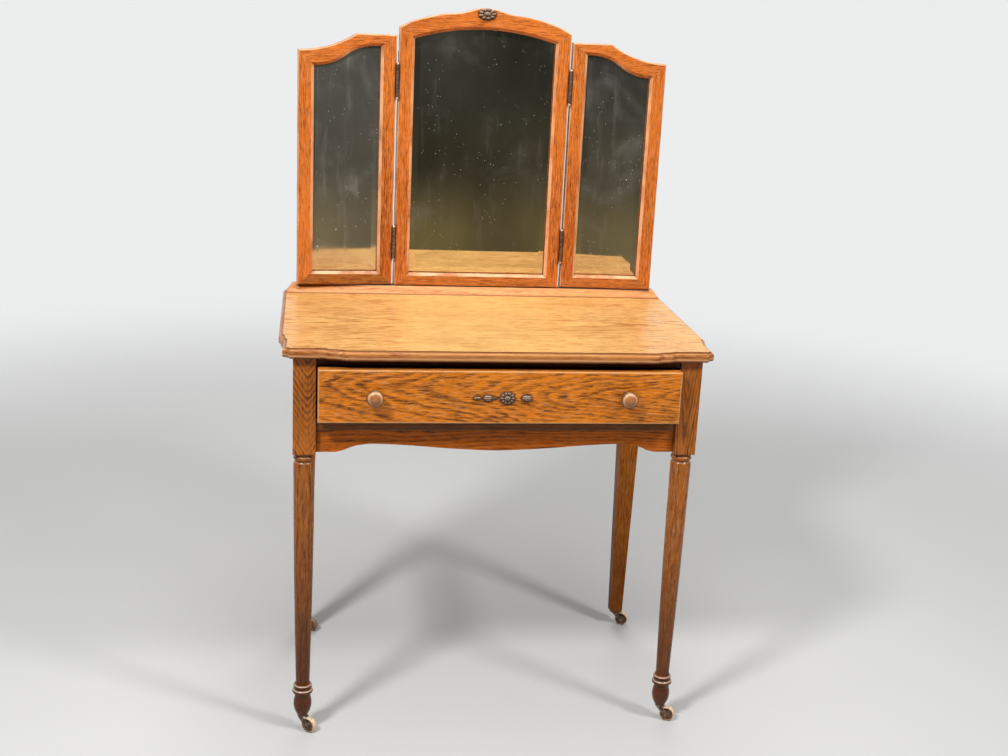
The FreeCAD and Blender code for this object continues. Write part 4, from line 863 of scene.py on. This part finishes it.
def flower(petals, seeds):
    """Heights of a rosette: petals round a seeded middle."""
    def height_at(share, turn):
        lobe = abs(math.cos(petals * turn / 2)) ** LOBE_FULLNESS
        edge = LOBE_NOTCH + (1 - LOBE_NOTCH) * lobe
        if share < SEEDED:
            pips = SEED_HIGH * math.cos(seeds * turn) * math.sin(math.pi * min(1.0, share / SEEDED) * 2)
            return edge, DOME_FOOT + (1 - DOME_FOOT) * dome(share / SEED_DOME) + pips
        across = (share - SEEDED) / (1 - SEEDED)
        rise = math.sin(math.pi * min(1.0, across * 0.92 + 0.04)) ** PETAL_FULLNESS
        vein = VEIN_DEEP * abs(math.sin(petals * turn))
        body = PETAL_RISE * rise * (PETAL_VALLEY + (1 - PETAL_VALLEY) * lobe)
        return edge, PETAL_FOOT + body - vein * rise
    return height_at


def leaf_bud(lobes):
    """Heights of a closed bud with ridges that run to its tips."""
    def height_at(share, turn):
        across = share * math.sin(turn)
        along = share * math.cos(turn)
        body = dome(share, BUD_FULLNESS)
        ridge = BUD_RIDGE * abs(math.sin(lobes * math.pi * across / 2)) * (1 - abs(along) / 2)
        notch = BUD_NOTCH * max(0.0, math.cos(3 * math.pi * along))
        edge = 1.0 - BUD_SQUARENESS * abs(math.cos(2 * turn))
        return edge, BUD_FOOT + (1 - BUD_FOOT) * body - ridge - notch * body
    return height_at


def smooth_bead(share, turn):
    """Height of a plain bead, the same all round."""
    return 1.0, BEAD_FOOT + (1 - BEAD_FOOT) * dome(share, BEAD_FULLNESS)


# Side of a caster wheel from its bore to the middle of its tread: shares of its radius and half its
# width. The last rows are the tread.
WHEEL_SHARES = (
    (0.1414, 0.94), (0.30, 0.98), (0.34, 0.90), (0.37, 0.60), (0.50, 0.58), (0.55, 0.74), (0.60, 0.76),
    (0.64, 0.60), (0.76, 0.60), (0.79, 0.80), (0.84, 0.96), (0.91, 0.98), (0.965, 0.84), (0.993, 0.56),
    (1.0, 0.0),
)
TREAD_ROWS = 4
WHEEL_STEPS = 64


def turned_wheel(name, middle, axis, radius, half_wide, face_material, tread_material):
    """A wheel turned on a lathe, with a boss, a bead and a rounded rim on both faces."""
    right = axis.cross(UP).normalized()
    up = right.cross(axis)
    rows = list(WHEEL_SHARES) + [(share, -side) for share, side in reversed(WHEEL_SHARES[:-1])]
    turns = [2 * math.pi * step / WHEEL_STEPS for step in range(WHEEL_STEPS)]
    spokes = [right * math.cos(turn) + up * math.sin(turn) for turn in turns]
    bm = bmesh.new()
    loops = []
    for out, side in rows:
        loops.append([bm.verts.new(middle + spoke * (radius * out) + axis * (half_wide * side))
                      for spoke in spokes])
    tread_from = len(WHEEL_SHARES) - TREAD_ROWS
    tread_to = len(rows) - tread_from - 1
    for index, loop in enumerate(loops):
        after = loops[(index + 1) % len(loops)]
        for step in range(WHEEL_STEPS):
            follow = (step + 1) % WHEEL_STEPS
            face = bm.faces.new((loop[step], loop[follow], after[follow], after[step]))
            face.material_index = 1 if tread_from <= index < tread_to else 0
    wheel = mesh_object(name, bm, face_material)
    wheel.data.materials.append(tread_material)
    return wheel


# Properties
def color_property(name, description, default):
    return bpy.props.FloatVectorProperty(name=name, description=description, default=default, size=3,
                                         min=0.0, max=1.0, subtype="COLOR")


def number(name, description, default, **limits):
    return bpy.props.FloatProperty(name=name, description=description, default=default, **limits)


def length(name, description, default):
    return number(name, description, default, unit="LENGTH")


def share_of_one(name, description, default):
    return number(name, description, default, min=0.0, max=1.0)


def power(name, description, default):
    return number(name, description, default, unit="POWER")


class WoodColors(bpy.types.PropertyGroup):
    """Light, dark and rubbed tones of each group of boards."""
    # The top's light tone is paler than the other boards' oak: partly its own colour, partly painted sheen
    # of light on its varnish.
    top_light: color_property("Top light", "Light grain of the table top", (0.755, 0.405, 0.125))
    top_dark: color_property("Top dark", "Dark grain of the table top", (0.36, 0.095, 0.012))
    frame_light: color_property("Frame light", "Light grain of the mirror frames", (0.67, 0.175, 0.023))
    frame_dark: color_property("Frame dark", "Dark grain of the mirror frames", (0.19, 0.038, 0.006))
    drawer_light: color_property("Drawer light", "Light grain of the drawer front", (0.73, 0.205, 0.006))
    drawer_dark: color_property("Drawer dark", "Dark grain of the drawer front", (0.14, 0.04, 0.004))
    leg_light: color_property("Leg light", "Light grain of the legs", (0.46, 0.13, 0.008))
    leg_dark: color_property("Leg dark", "Dark grain of the legs", (0.075, 0.018, 0.003))
    rubbed: color_property("Rubbed", "Bare wood where an edge is rubbed", (0.74, 0.42, 0.2))
    bare_light: color_property("Bare light", "Light tone of unfinished boards", (0.42, 0.26, 0.13))
    bare_dark: color_property("Bare dark", "Dark tone of unfinished boards", (0.2, 0.11, 0.05))
    carving_low: color_property("Carving low", "Hollows of the carving", (0.013, 0.006, 0.004))
    carving_high: color_property("Carving high", "High spots of the carving", (0.2, 0.1, 0.048))
    knob_light: color_property("Knob light", "Light tone of the knobs", (0.58, 0.28, 0.09))
    knob_dark: color_property("Knob dark", "Dark tone of the knobs", (0.22, 0.085, 0.03))
    knob_core: color_property("Knob core", "Reddish middle of the knobs", (0.38, 0.115, 0.035))


class MirrorLooks(bpy.types.PropertyGroup):
    """The mirror plates."""
    bevel_wide: length("Bevel width", "Ground edge of a plate, with the part under the frame", 0.0197)
    bevel_deep: length("Bevel depth", "How far the ground edge slopes back", 0.0014)
    tint: color_property("Tint", "Tone of the old silvering", (0.84, 0.82, 0.76))
    haze: color_property("Haze", "Tone of its spots and haze", (0.55, 0.6, 0.56))
    center_film: share_of_one("Middle film", "Dust on the middle plate", 0.01)
    left_film: share_of_one("Left film", "Dust on the left plate", 0.13)
    right_film: share_of_one("Right film", "Dust on the right plate", 0.08)


class MetalLooks(bpy.types.PropertyGroup):
    """Hinges, screws and casters."""
    brass: color_property("Brass", "Rubbed metal of the hinges", (0.72, 0.54, 0.42))
    brass_dark: color_property("Brass dark", "Patina of the hinges", (0.13, 0.07, 0.04))
    steel: color_property("Steel", "Rubbed metal of the screws", (0.4, 0.38, 0.35))
    steel_dark: color_property("Steel dark", "Stained metal of the screws", (0.1, 0.075, 0.06))
    iron: color_property("Iron", "Rubbed metal of the casters", (0.34, 0.24, 0.16))
    iron_dark: color_property("Iron dark", "Stained metal of the casters", (0.05, 0.028, 0.018))
    tread_light: color_property("Tread light", "Light tone of the wheels' treads", (0.86, 0.64, 0.42))
    tread_dark: color_property("Tread dark", "Dark tone of the wheels' treads", (0.45, 0.3, 0.17))
    face_light: color_property("Face light", "Light tone of the wheels' faces", (0.3, 0.14, 0.06))
    face_dark: color_property("Face dark", "Dark tone of the wheels' faces", (0.1, 0.04, 0.018))
    wheel_half: length("Wheel half width", "Half the width of a caster wheel", 0.0055)


class CarvingSizes(bpy.types.PropertyGroup):
    """The applied ornament."""
    petals: bpy.props.IntProperty(name="Petals", description="Petals of the rosette on the crest",
                                  default=9, min=3)
    drawer_petals: bpy.props.IntProperty(name="Drawer petals", description="Petals of the drawer's rosette",
                                         default=10, min=3)


class StageLooks(bpy.types.PropertyGroup):
    """Floor, lamps and camera."""
    floor_color: color_property("Floor", "Colour of the floor", (0.6, 0.6, 0.59))
    back_color: color_property("Background", "Colour of the background", (0.84, 0.845, 0.85))
    key_power: power("Key lamp", "Power of the left lamp", 88.0)
    fill_power: power("Fill lamp", "Power of the right lamp", 50.0)
    top_power: power("Top lamp", "Power of the lamp overhead", 34.0)
    back_power: power("Back lamp", "Power of the lamp behind", 36.0)
    sky: number("Sky", "Strength of the light from all round", 0.22)
    lens: number("Lens", "Focal length in millimetres on a 36 mm sensor", 48.43)


# Operators
class DRESSING_OT_table_top(bpy.types.Operator):
    """Polished oak for the table top and the plinth under the mirrors"""
    bl_idname = "dressing.table_top"
    bl_label = "Table Top and Plinth"

    def execute(self, context):
        wood = context.scene.dressing_wood
        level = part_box("table_top")[1].z
        top = oak_material("polished_top", wood.top_light, wood.top_dark, pith=(0.0, level - 0.07, -0.02),
                           lean=(0.0, 0.035, 0.02), ring_width=0.006, wave=(0.02,) * 3, wave_scale=9.0,
                           contrast=1.0, fleck=0.55, cloud=0.6, pore_strength=0.6, fine=2.0, pale=0.45,
                           gloss=0.24, coat=0.08, wear=0.6, wear_radius=0.0014, dirt=0.7,
                           marks=top_marks(level))
        dress(top, "table_top")
        redder = tinted(wood.top_light, red=1.0, green=0.76, blue=0.75)
        plinth = oak_material("plinth_oak", redder, wood.top_dark, pith=(0.0, level - 0.09, 0.28),
                              lean=(0.0, 0.02, 0.02), ring_width=0.006, contrast=0.6, wear=0.5,
                              dirt=1.0, dirt_and_shade_reach=0.007, marks=joint_line(level))
        dress(plinth, "mirror_plinth")
        return {"FINISHED"}


# The figure of each front leg's block: how far aside its peak is, how steep it is, and its ring width.
BLOCK_FIGURES = {"left": (0.005, 0.58, 0.0076), "right": (-0.004, 0.09, 0.0046)}
# The foot of the block is this far below the lowest point of the apron.
BLOCK_DROP = 0.006


class DRESSING_OT_legs(bpy.types.Operator):
    """Varnished oak for the turned front legs and the tapered rear legs"""
    bl_idname = "dressing.legs"
    bl_label = "Legs"

    def execute(self, context):
        wood = context.scene.dressing_wood
        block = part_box("front_apron")[0].z - BLOCK_DROP
        shafts = {"left": {"contrast": 0.8, "pale": 0.5, "light": shade(wood.leg_light, 0.78)},
                  "right": {"contrast": 0.5, "pale": 0.9, "light": shade(wood.leg_light, 0.9)}}
        for side, (apex, steep, ring) in BLOCK_FIGURES.items():
            low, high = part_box("front_leg_" + side)
            middle = (low + high) / 2
            shaft = {"pith": (block, middle.x - 0.002, middle.y + 0.13), "taper": -0.012,
                     "ring_width": 0.0034, "wave": (0.012,) * 3, "broken": 0.3, "cloud": 0.45, "fine": 1.6,
                     **shafts[side]}
            leg = oak_material("front_leg_oak_" + side, wood.leg_light, wood.leg_dark, grain="Z",
                               pith=(block, middle.x + apex, low.y + 0.004), taper=-steep, ring_width=ring,
                               ragged=0.3, wave=(0.009,) * 3, wave_scale=16.0, broken=0.35, contrast=0.95,
                               fleck=0.35, cloud=0.7, rough=0.28, wear=0.22, dirt=0.9, dirt_and_shade_reach=0.005,
                               below=(block, shaft), marks=darker_toward_floor(height=0.5, share=0.62), rounds=True)
            dress(leg, "front_leg_" + side)
        rear = oak_material("rear_leg_oak", wood.leg_light, wood.leg_dark, grain="Z", pith=(0.0, 0.0, 0.4),
                            lean=(0.0, 0.05, 0.03), ring_width=0.006, broken=0.5, contrast=0.5, fine=1.6,
                            pale=0.7, rough=0.46, gloss=0.08, coat=0.0, wear=0.6, dirt=0.8,
                            marks=darker_toward_floor(height=0.45, share=0.3))
        dress(rear, "rear_leg_left", "rear_leg_right")
        return {"FINISHED"}


# Hidden boards: the finish, the axis that its grain follows and the nodes that it goes on.
CASE_BOARDS = (
    ("bare_boards", "X", ("back_rail", "glue_blocks", "center_backboard", "left_wing_backboard",
                          "right_wing_backboard")),
    ("bare_runners", "Y", ("drawer_runners", "drawer_kickers")),
    ("bare_posts", "Z", ("mirror_posts",)),
)
DRAWER_BOARDS = (
    ("drawer_side_oak", "Y", ("drawer_side_left", "drawer_side_right")),
    ("drawer_box_oak", "X", ("drawer_back", "drawer_bottom")),
)


class DRESSING_OT_case(bpy.types.Operator):
    """Oak for the rails and the apron, and bare wood for the boards behind them"""
    bl_idname = "dressing.case"
    bl_label = "Rails and Apron"

    def execute(self, context):
        wood = context.scene.dressing_wood
        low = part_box("front_apron")[0]
        redder = tinted(wood.drawer_light, red=0.82, green=0.66, blue=0.5)
        apron = oak_material("apron_oak", redder, wood.drawer_dark, pith=(0.1, low.z - 0.03, low.y + 0.04),
                             lean=(0.0, 0.05, 0.06), wave=(0.02,) * 3, wave_scale=14.0, broken=0.6,
                             contrast=0.95, cloud=0.6, gloss=0.15, coat=0.0)
        dress(apron, "front_apron")
        sides = oak_material("side_rail_oak", wood.drawer_light, wood.drawer_dark, grain="Y",
                             pith=(0.0, 0.0, 0.6), lean=(0.0, 0.02, 0.06))
        dress(sides, "side_rail_left", "side_rail_right")
        # Painted shade: the rails above and below the drawer are much darker than the drawer front's oak,
        # for the shadow of the proud drawer front and of the overhanging top.
        rail = oak_material("rail_oak", shade(wood.drawer_light, 0.27), shade(wood.drawer_dark, 0.5),
                            pith=(0.0, 0.5, -0.1), lean=(0.0, 0.02, 0.03), ring_width=0.005, cloud=0.8,
                            dirt=0.9, dirt_and_shade_reach=0.02)
        dress(rail, "drawer_top_rail", "drawer_bottom_rail")
        dress_bare(wood, CASE_BOARDS)
        return {"FINISHED"}


class DRESSING_OT_drawer(bpy.types.Operator):
    """Figured oak for the drawer front, bare oak for its box and pale turned knobs"""
    bl_idname = "dressing.drawer"
    bl_label = "Drawer"

    def execute(self, context):
        wood = context.scene.dressing_wood
        low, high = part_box("drawer_front")
        front = oak_material("drawer_front_oak", wood.drawer_light, wood.drawer_dark,
                             pith=(0.15, (low.z + high.z) / 2 + 0.01, low.y + 0.03), lean=(0.0, 0.02, 0.13),
                             ring_width=0.0052, ragged=0.9, wave=(0.034,) * 3, wave_scale=13.0, broken=0.5,
                             contrast=0.9, fleck=0.5, cloud=1.2, fine=1.9, pale=0.5, wear=1.0,
                             wear_radius=0.002, dirt=1.0, dirt_and_shade_reach=0.004,
                             marks=rubbed_rim("drawer_front", wide=0.003))
        dress(front, "drawer_front")
        dress_bare(wood, DRAWER_BOARDS)
        dress(knob_material("knob_wood", wood.knob_light, wood.knob_dark, wood.knob_core), "drawer_knobs")
        return {"FINISHED"}


FRAME_LOOKS = {"ring_width": 0.0032, "ragged": 0.8, "wave": (0.018,) * 3, "wave_scale": 17.0, "broken": 0.5,
               "contrast": 0.65, "fleck": 0.4, "cloud": 1.3, "fine": 1.9, "pale": 0.45, "wear": 0.5,
               "rough": 0.3, "dirt": 1.0, "marks": sight_edge_highlights}
STILE_LOOKS = {**FRAME_LOOKS, "grain": "Z", "pith": (0.0, 0.06, 0.3), "lean": (0.0, 0.025, 0.01)}
RAIL_LOOKS = {**FRAME_LOOKS, "pith": (0.0, 0.9, 0.3), "lean": (0.0, 0.03, 0.02)}
SPECKLED_LOOKS = {**RAIL_LOOKS, "fleck": 0.8, "fine": 1.6}
# Members of the mirror frames: their finish, the shares of red, green and blue that its light tone has
# of the frames' own, its looks and its nodes.
FRAME_MEMBERS = (
    ("frame_stile_oak", (1.0, 1.0, 1.0), STILE_LOOKS,
     ("center_stile_left", "center_stile_right", "left_wing_hinge_stile", "left_wing_outer_stile",
      "right_wing_hinge_stile", "right_wing_outer_stile")),
    ("frame_rail_oak", (1.0, 1.0, 1.0), RAIL_LOOKS,
     ("center_crest_rail", "left_wing_top_rail", "right_wing_top_rail")),
    ("bottom_rail_oak", (0.84, 0.95, 1.3), RAIL_LOOKS, ("center_bottom_rail", "right_wing_bottom_rail")),
    ("speckled_rail_oak", (0.55, 0.7, 0.9), SPECKLED_LOOKS, ("left_wing_bottom_rail",)),
)


class DRESSING_OT_mirror_frames(bpy.types.Operator):
    """Varnished oak for the members of the three mirror frames"""
    bl_idname = "dressing.mirror_frames"
    bl_label = "Mirror Frames"

    def execute(self, context):
        wood = context.scene.dressing_wood
        for name, shares, looks, nodes in FRAME_MEMBERS:
            light = tinted(wood.frame_light, *shares)
            dress(oak_material(name, light, wood.frame_dark, **looks), *nodes)
        return {"FINISHED"}


class DRESSING_OT_mirror_glass(bpy.types.Operator):
    """Bevelled plates with old silvering in place of the plain panes"""
    bl_idname = "dressing.mirror_glass"
    bl_label = "Mirror Plates"

    def execute(self, context):
        looks = context.scene.dressing_mirror
        for stem, body, film in (("center", "table", looks.center_film),
                                 ("left_wing", "left_wing", looks.left_film),
                                 ("right_wing", "right_wing", looks.right_film)):
            silver = mirror_material(stem + "_silvering", looks.tint, looks.haze, film)
            node = stem + "_glass"
            plate = bevelled_glass(stem + "_mirror_plate", NODES[node], looks.bevel_wide, looks.bevel_deep,
                                   silver)
            dress(silver, node)
            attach(plate, body)
            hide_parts(node)
        return {"FINISHED"}


# The rosette in the drawer front's row of ornaments stands this far right of the table's middle.
ROW_MIDDLE = 0.008
CREST_SEEDS = 6
DRAWER_SEEDS = 7
BUD_RIDGES = 4
# Rings and spokes of the grids that the ornaments are made on.
FINE_GRID = (26, 96)
BUD_GRID = (18, 56)
BEAD_GRID = (10, 32)


class DRESSING_OT_carving(bpy.types.Operator):
    """Dark applied ornament: the rosettes, the two buds with one leaf tip, and one bead"""
    bl_idname = "dressing.carving"
    bl_label = "Carved Ornament"

    def execute(self, context):
        sizes = context.scene.dressing_carving
        low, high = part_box("crest_rosette")
        middle = (low + high) / 2
        dark = carving_material("crest_carving", (low, high))
        dress(dark, "crest_rosette")
        crest = relief("crest_flower", (middle.x, high.y, middle.z), (high.x - low.x) / 2,
                       (high.z - low.z) / 2, high.y - low.y, flower(sizes.petals, CREST_SEEDS), dark,
                       *FINE_GRID)
        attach(crest, "table")
        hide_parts("crest_rosette")
        low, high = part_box("drawer_carving")
        level = (low.z + high.z) / 2
        dark = carving_material("drawer_carving_wood", (low, high))
        dress(dark, "drawer_carving")
        rosette = flower(sizes.drawer_petals, DRAWER_SEEDS)
        bud = leaf_bud(BUD_RIDGES)
        # Each ornament's way aside from the rosette, half width and half height, share of the row's full
        # height, form and grid.
        row = (
            ("drawer_flower", 0.0, (0.0138, 0.0118), 1.0, rosette, FINE_GRID),
            ("drawer_bud_left", -0.035, (0.0097, 0.0066), 1.0, bud, BUD_GRID),
            ("drawer_bud_right", 0.035, (0.0108, 0.0068), 1.0, bud, BUD_GRID),
            ("drawer_leaf_tip", -0.0238, (0.007, 0.0025), 0.5, smooth_bead, BEAD_GRID),
            ("drawer_bead", -0.0545, (0.0078, 0.0033), 0.78, smooth_bead, BEAD_GRID),
        )
        for name, aside, halves, share, height_at, grid in row:
            piece = relief(name, (ROW_MIDDLE + aside, high.y, level), *halves, (high.y - low.y) * share,
                           height_at, dark, *grid)
            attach(piece, "drawer")
            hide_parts("drawer_carving")
        return {"FINISHED"}


class DRESSING_OT_hinges(bpy.types.Operator):
    """Dull metal for the hinges, and steel for the screws"""
    bl_idname = "dressing.hinges"
    bl_label = "Hinges and Screws"

    def execute(self, context):
        looks = context.scene.dressing_metal
        brass = metal_material("aged_brass", looks.brass, looks.brass_dark, rough=0.26, patina_from=0.48,
                               metallic=0.85)
        dress(brass, "hinge_pins")
        leaves = metal_material("hinge_leaf_metal", shade(looks.brass, 0.4), shade(looks.brass_dark, 0.5),
                                rough=0.34, patina_from=0.36, metallic=0.7)
        dress(leaves, "hinge_frame_leaves", "left_wing_hinge_leaves", "right_wing_hinge_leaves")
        steel = metal_material("dull_steel", looks.steel, looks.steel_dark, rough=0.4)
        dress(steel, "post_screws", "hinge_frame_screws", "left_wing_hinge_screw_set",
              "right_wing_hinge_screw_set", "knob_screws")
        return {"FINISHED"}


class DRESSING_OT_casters(bpy.types.Operator):
    """Stained metal for the caster horns, and turned wheels with cream treads and brown faces"""
    bl_idname = "dressing.casters"
    bl_label = "Casters"

    def execute(self, context):
        looks = context.scene.dressing_metal
        iron = metal_material("caster_metal", looks.iron, looks.iron_dark, rough=0.36, scale=160.0)
        dress(iron, "caster_sockets", *["caster_horn_" + word for word in CORNERS])
        tread = wheel_material("wheel_tread", looks.tread_light, looks.tread_dark, dirt=0.4)
        # Painted shade: a darker copy of the tread for the rear left wheel.
        worn = wheel_material("worn_wheel_tread", shade(looks.tread_dark, 0.7),
                              shade(looks.tread_dark, 0.3), dirt=0.8)
        face = wheel_material("wheel_face", looks.face_light, looks.face_dark, dirt=1.0)
        axes = {joint["child"]: Vector(joint["axis"]) for joint in frame["joints"]}
        for word in CORNERS:
            node = "caster_wheel_" + word
            roller = "caster_roller_" + word
            dress(tread, node)
            low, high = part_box(node)
            # The rear left wheel gets the tread with painted shade.
            wheel = turned_wheel("turned_wheel_" + word, (low + high) / 2, axes[roller].normalized(),
                                 (high.z - low.z) / 2, looks.wheel_half, face,
                                 worn if word == "rear_left" else tread)
            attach(wheel, roller)
            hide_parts(node)
        return {"FINISHED"}


CAMERA_PLACE = (-0.3356, -2.528, 1.3851)
CAMERA_TURN = tuple(math.radians(angle) for angle in (8.8, -15.8, 2.9))
CAMERA_SHIFT = (-0.0107, -0.0074)
SENSOR_WIDE = 36.0
NEAREST = 0.05
FLOOR_RADIUS = 24.0
FLOOR_STEPS = 96
FLOOR_FADE = (1.3, 3.6)
CURTAIN_RADIUS = 3.5
CURTAIN_HIGH = 5.5
CURTAIN_STEPS = 48
# The curtain's tones, out of its folds and in them, from the floor up, and the heights of the changes.
CURTAIN_TONES = (
    ((0.17, 0.13, 0.052, 1.0), (0.095, 0.073, 0.034, 1.0)),
    ((0.062, 0.053, 0.032, 1.0), (0.027, 0.024, 0.015, 1.0)),
    ((0.02, 0.02, 0.015, 1.0), (0.052, 0.05, 0.04, 1.0)),
)
CURTAIN_CHANGES = ((0.2, 0.56), (0.6, 1.0))
# Each lamp's name, place, target and size, and the property that holds its power.
LAMPS = (
    ("lamp_left", (-1.7, -1.9, 3.1), (0.0, 0.0, 0.7), 0.6, "key_power"),
    ("lamp_right", (1.9, -1.7, 3.0), (0.0, 0.0, 0.7), 0.6, "fill_power"),
    ("lamp_top", (0.0, -0.6, 3.2), (0.0, 0.0, 0.7), 1.6, "top_power"),
    ("lamp_behind", (0.2, 2.3, 3.2), (0.0, 0.3, 0.8), 1.6, "back_power"),
)


def camera_matrix():
    """The camera's place and turn: to the right, down, and rolled."""
    turn, pitch, roll = CAMERA_TURN
    ahead = Vector((math.sin(turn) * math.cos(pitch), math.cos(turn) * math.cos(pitch), math.sin(pitch)))
    right = ahead.cross(UP).normalized()
    up = right.cross(ahead)
    rolled_right = right * math.cos(roll) + up * math.sin(roll)
    rolled_up = up * math.cos(roll) - right * math.sin(roll)
    columns = Matrix((rolled_right, rolled_up, -ahead)).transposed().to_4x4()
    return Matrix.Translation(CAMERA_PLACE) @ columns


def photo_camera(lens):
    camera = bpy.data.cameras.new("photo_camera")
    camera.sensor_width = SENSOR_WIDE
    camera.sensor_fit = "HORIZONTAL"
    camera.lens = lens
    camera.shift_x, camera.shift_y = CAMERA_SHIFT
    camera.clip_start = NEAREST
    holder = bpy.data.objects.new("photo_camera", camera)
    holder.matrix_world = camera_matrix()
    bpy.context.scene.collection.objects.link(holder)
    return holder


def area_lamp(name, place, target, size, energy):
    lamp = bpy.data.lights.new(name, "AREA")
    lamp.shape = "DISK"
    lamp.size = size
    lamp.energy = energy
    holder = bpy.data.objects.new(name, lamp)
    holder.location = place
    holder.rotation_euler = (Vector(target) - Vector(place)).to_track_quat("-Z", "Y").to_euler()
    bpy.context.scene.collection.objects.link(holder)


def light_from_all_round(scene, color, strength):
    """A pale background at full strength, which lights the table more weakly."""
    world = scene.world or bpy.data.worlds.new("studio")
    scene.world = world
    world.use_nodes = True
    s = Shader(world.node_tree)
    rays = s.node("ShaderNodeLightPath").outputs
    seen = s.larger(rays["Is Camera Ray"], s.larger(rays["Is Glossy Ray"], rays["Is Transmission Ray"]))
    s.feed(world.node_tree.nodes["Background"],
           {"Color": color4(color), "Strength": s.times_plus(seen, 1.0 - strength, strength)})


def floor_material(color):
    """A plain pale floor that fades into the background far from the table."""
    material, s, surface = new_material("pale_floor")
    marks = s.noise(s.place(), scale=1.1)
    s.feed(surface, {
        "Base Color": s.mix(s.band(marks, low=0.3, high=0.75), color4(color), shade(color, 0.96)),
        "Roughness": s.band(marks, *PATCHY, start=0.6, end=0.7), "Specular IOR Level": 0.2})
    far = s.band(s.vector("LENGTH", s.place()), *FLOOR_FADE)
    clear = s.node("ShaderNodeBsdfTransparent")
    blend = s.node("ShaderNodeMixShader", {0: far, 1: surface.outputs[0], 2: clear.outputs[0]})
    s.feed(material.node_tree.nodes["Material Output"], {"Surface": blend.outputs[0]})
    return material


def curtain_material():
    """A dark glowing cloth that only reflections see, which paints dark reflections into the mirrors and
    varnish: brown below, grey above.
    """
    material = bpy.data.materials.new("dark_curtain")
    material.use_nodes = True
    material.node_tree.nodes.clear()
    s = Shader(material.node_tree)
    place = s.place()
    folds = s.band(s.noise(place, scale=1.3, detail=3.0, stretch=(1.0, 1.0, 0.5)), low=0.35, high=0.65)
    tone, *upper = [s.mix(folds, *tones) for tones in CURTAIN_TONES]
    for (low, high), above in zip(CURTAIN_CHANGES, upper):
        tone = s.mix(s.band(s.split(place)[2], low, high), tone, above)
    glow = s.node("ShaderNodeEmission", {"Color": tone, "Strength": 1.0})
    s.node("ShaderNodeOutputMaterial", {"Surface": glow.outputs[0]})
    material.cycles.emission_sampling = "NONE"
    return material


def curved_curtain(material):
    """A half round of cloth in front of the table."""
    bm = bmesh.new()
    rows = []
    for step in range(CURTAIN_STEPS + 1):
        turn = math.pi + math.pi * step / CURTAIN_STEPS
        x = CURTAIN_RADIUS * math.cos(turn)
        y = CURTAIN_RADIUS * math.sin(turn)
        rows.append((bm.verts.new((x, y, 0.0)), bm.verts.new((x, y, CURTAIN_HIGH))))
    for (low_a, high_a), (low_b, high_b) in zip(rows, rows[1:]):
        bm.faces.new((low_a, low_b, high_b, high_a))
    return mesh_object("stage_curtain", bm, material)


class DRESSING_OT_stage(bpy.types.Operator):
    """Pale floor, soft lamps, a dark glowing curtain that paints reflections in the mirrors, and the camera
    """
    bl_idname = "dressing.stage"
    bl_label = "Stage"

    def execute(self, context):
        scene = context.scene
        looks = scene.dressing_stage
        bm = bmesh.new()
        bmesh.ops.create_circle(bm, cap_ends=True, segments=FLOOR_STEPS, radius=FLOOR_RADIUS)
        floor = mesh_object("stage_floor", bm, floor_material(looks.floor_color), smooth=False)
        curtain = curved_curtain(curtain_material())
        # The curtain shows only in reflections: painted dark reflections in the mirrors and the varnish.
        for ray in ("camera", "diffuse", "transmission", "volume_scatter", "shadow"):
            setattr(curtain, "visible_" + ray, False)
        for name, place, target, size, energy in LAMPS:
            area_lamp(name, place, target, size, getattr(looks, energy))
        light_from_all_round(scene, looks.back_color, looks.sky)
        scene.camera = photo_camera(looks.lens)
        scene.view_settings.view_transform = "Standard"
        return {"FINISHED"}


class DRESSING_PT_panel(bpy.types.Panel):
    """The pieces of the dressing table"""
    bl_idname = "DRESSING_PT_panel"
    bl_label = "Dressing Table"
    bl_space_type = "VIEW_3D"
    bl_region_type = "UI"
    bl_category = "Dressing Table"

    def draw(self, context):
        for operator in OPERATORS:
            self.layout.operator(operator.bl_idname)
        for name, kind in GROUPS:
            box = self.layout.box()
            box.label(text=kind.__doc__)
            settings = getattr(context.scene, name)
            for prop in kind.__annotations__:
                box.prop(settings, prop)


GROUPS = (("dressing_wood", WoodColors), ("dressing_mirror", MirrorLooks), ("dressing_metal", MetalLooks),
          ("dressing_carving", CarvingSizes), ("dressing_stage", StageLooks))
OPERATORS = (DRESSING_OT_stage, DRESSING_OT_table_top, DRESSING_OT_legs, DRESSING_OT_case,
             DRESSING_OT_drawer, DRESSING_OT_mirror_frames, DRESSING_OT_mirror_glass, DRESSING_OT_carving,
             DRESSING_OT_hinges, DRESSING_OT_casters)


def register():
    for name, kind in GROUPS:
        bpy.utils.register_class(kind)
        setattr(bpy.types.Scene, name, bpy.props.PointerProperty(type=kind))
    for operator in OPERATORS:
        bpy.utils.register_class(operator)
    bpy.utils.register_class(DRESSING_PT_panel)


def unregister():
    bpy.utils.unregister_class(DRESSING_PT_panel)
    for operator in reversed(OPERATORS):
        bpy.utils.unregister_class(operator)
    for name, kind in reversed(GROUPS):
        delattr(bpy.types.Scene, name)
        bpy.utils.unregister_class(kind)


def main():
    register()
    for operator in OPERATORS:
        group, name = operator.bl_idname.split(".")
        getattr(getattr(bpy.ops, group), name)()


if __name__ == "__main__":
    main()
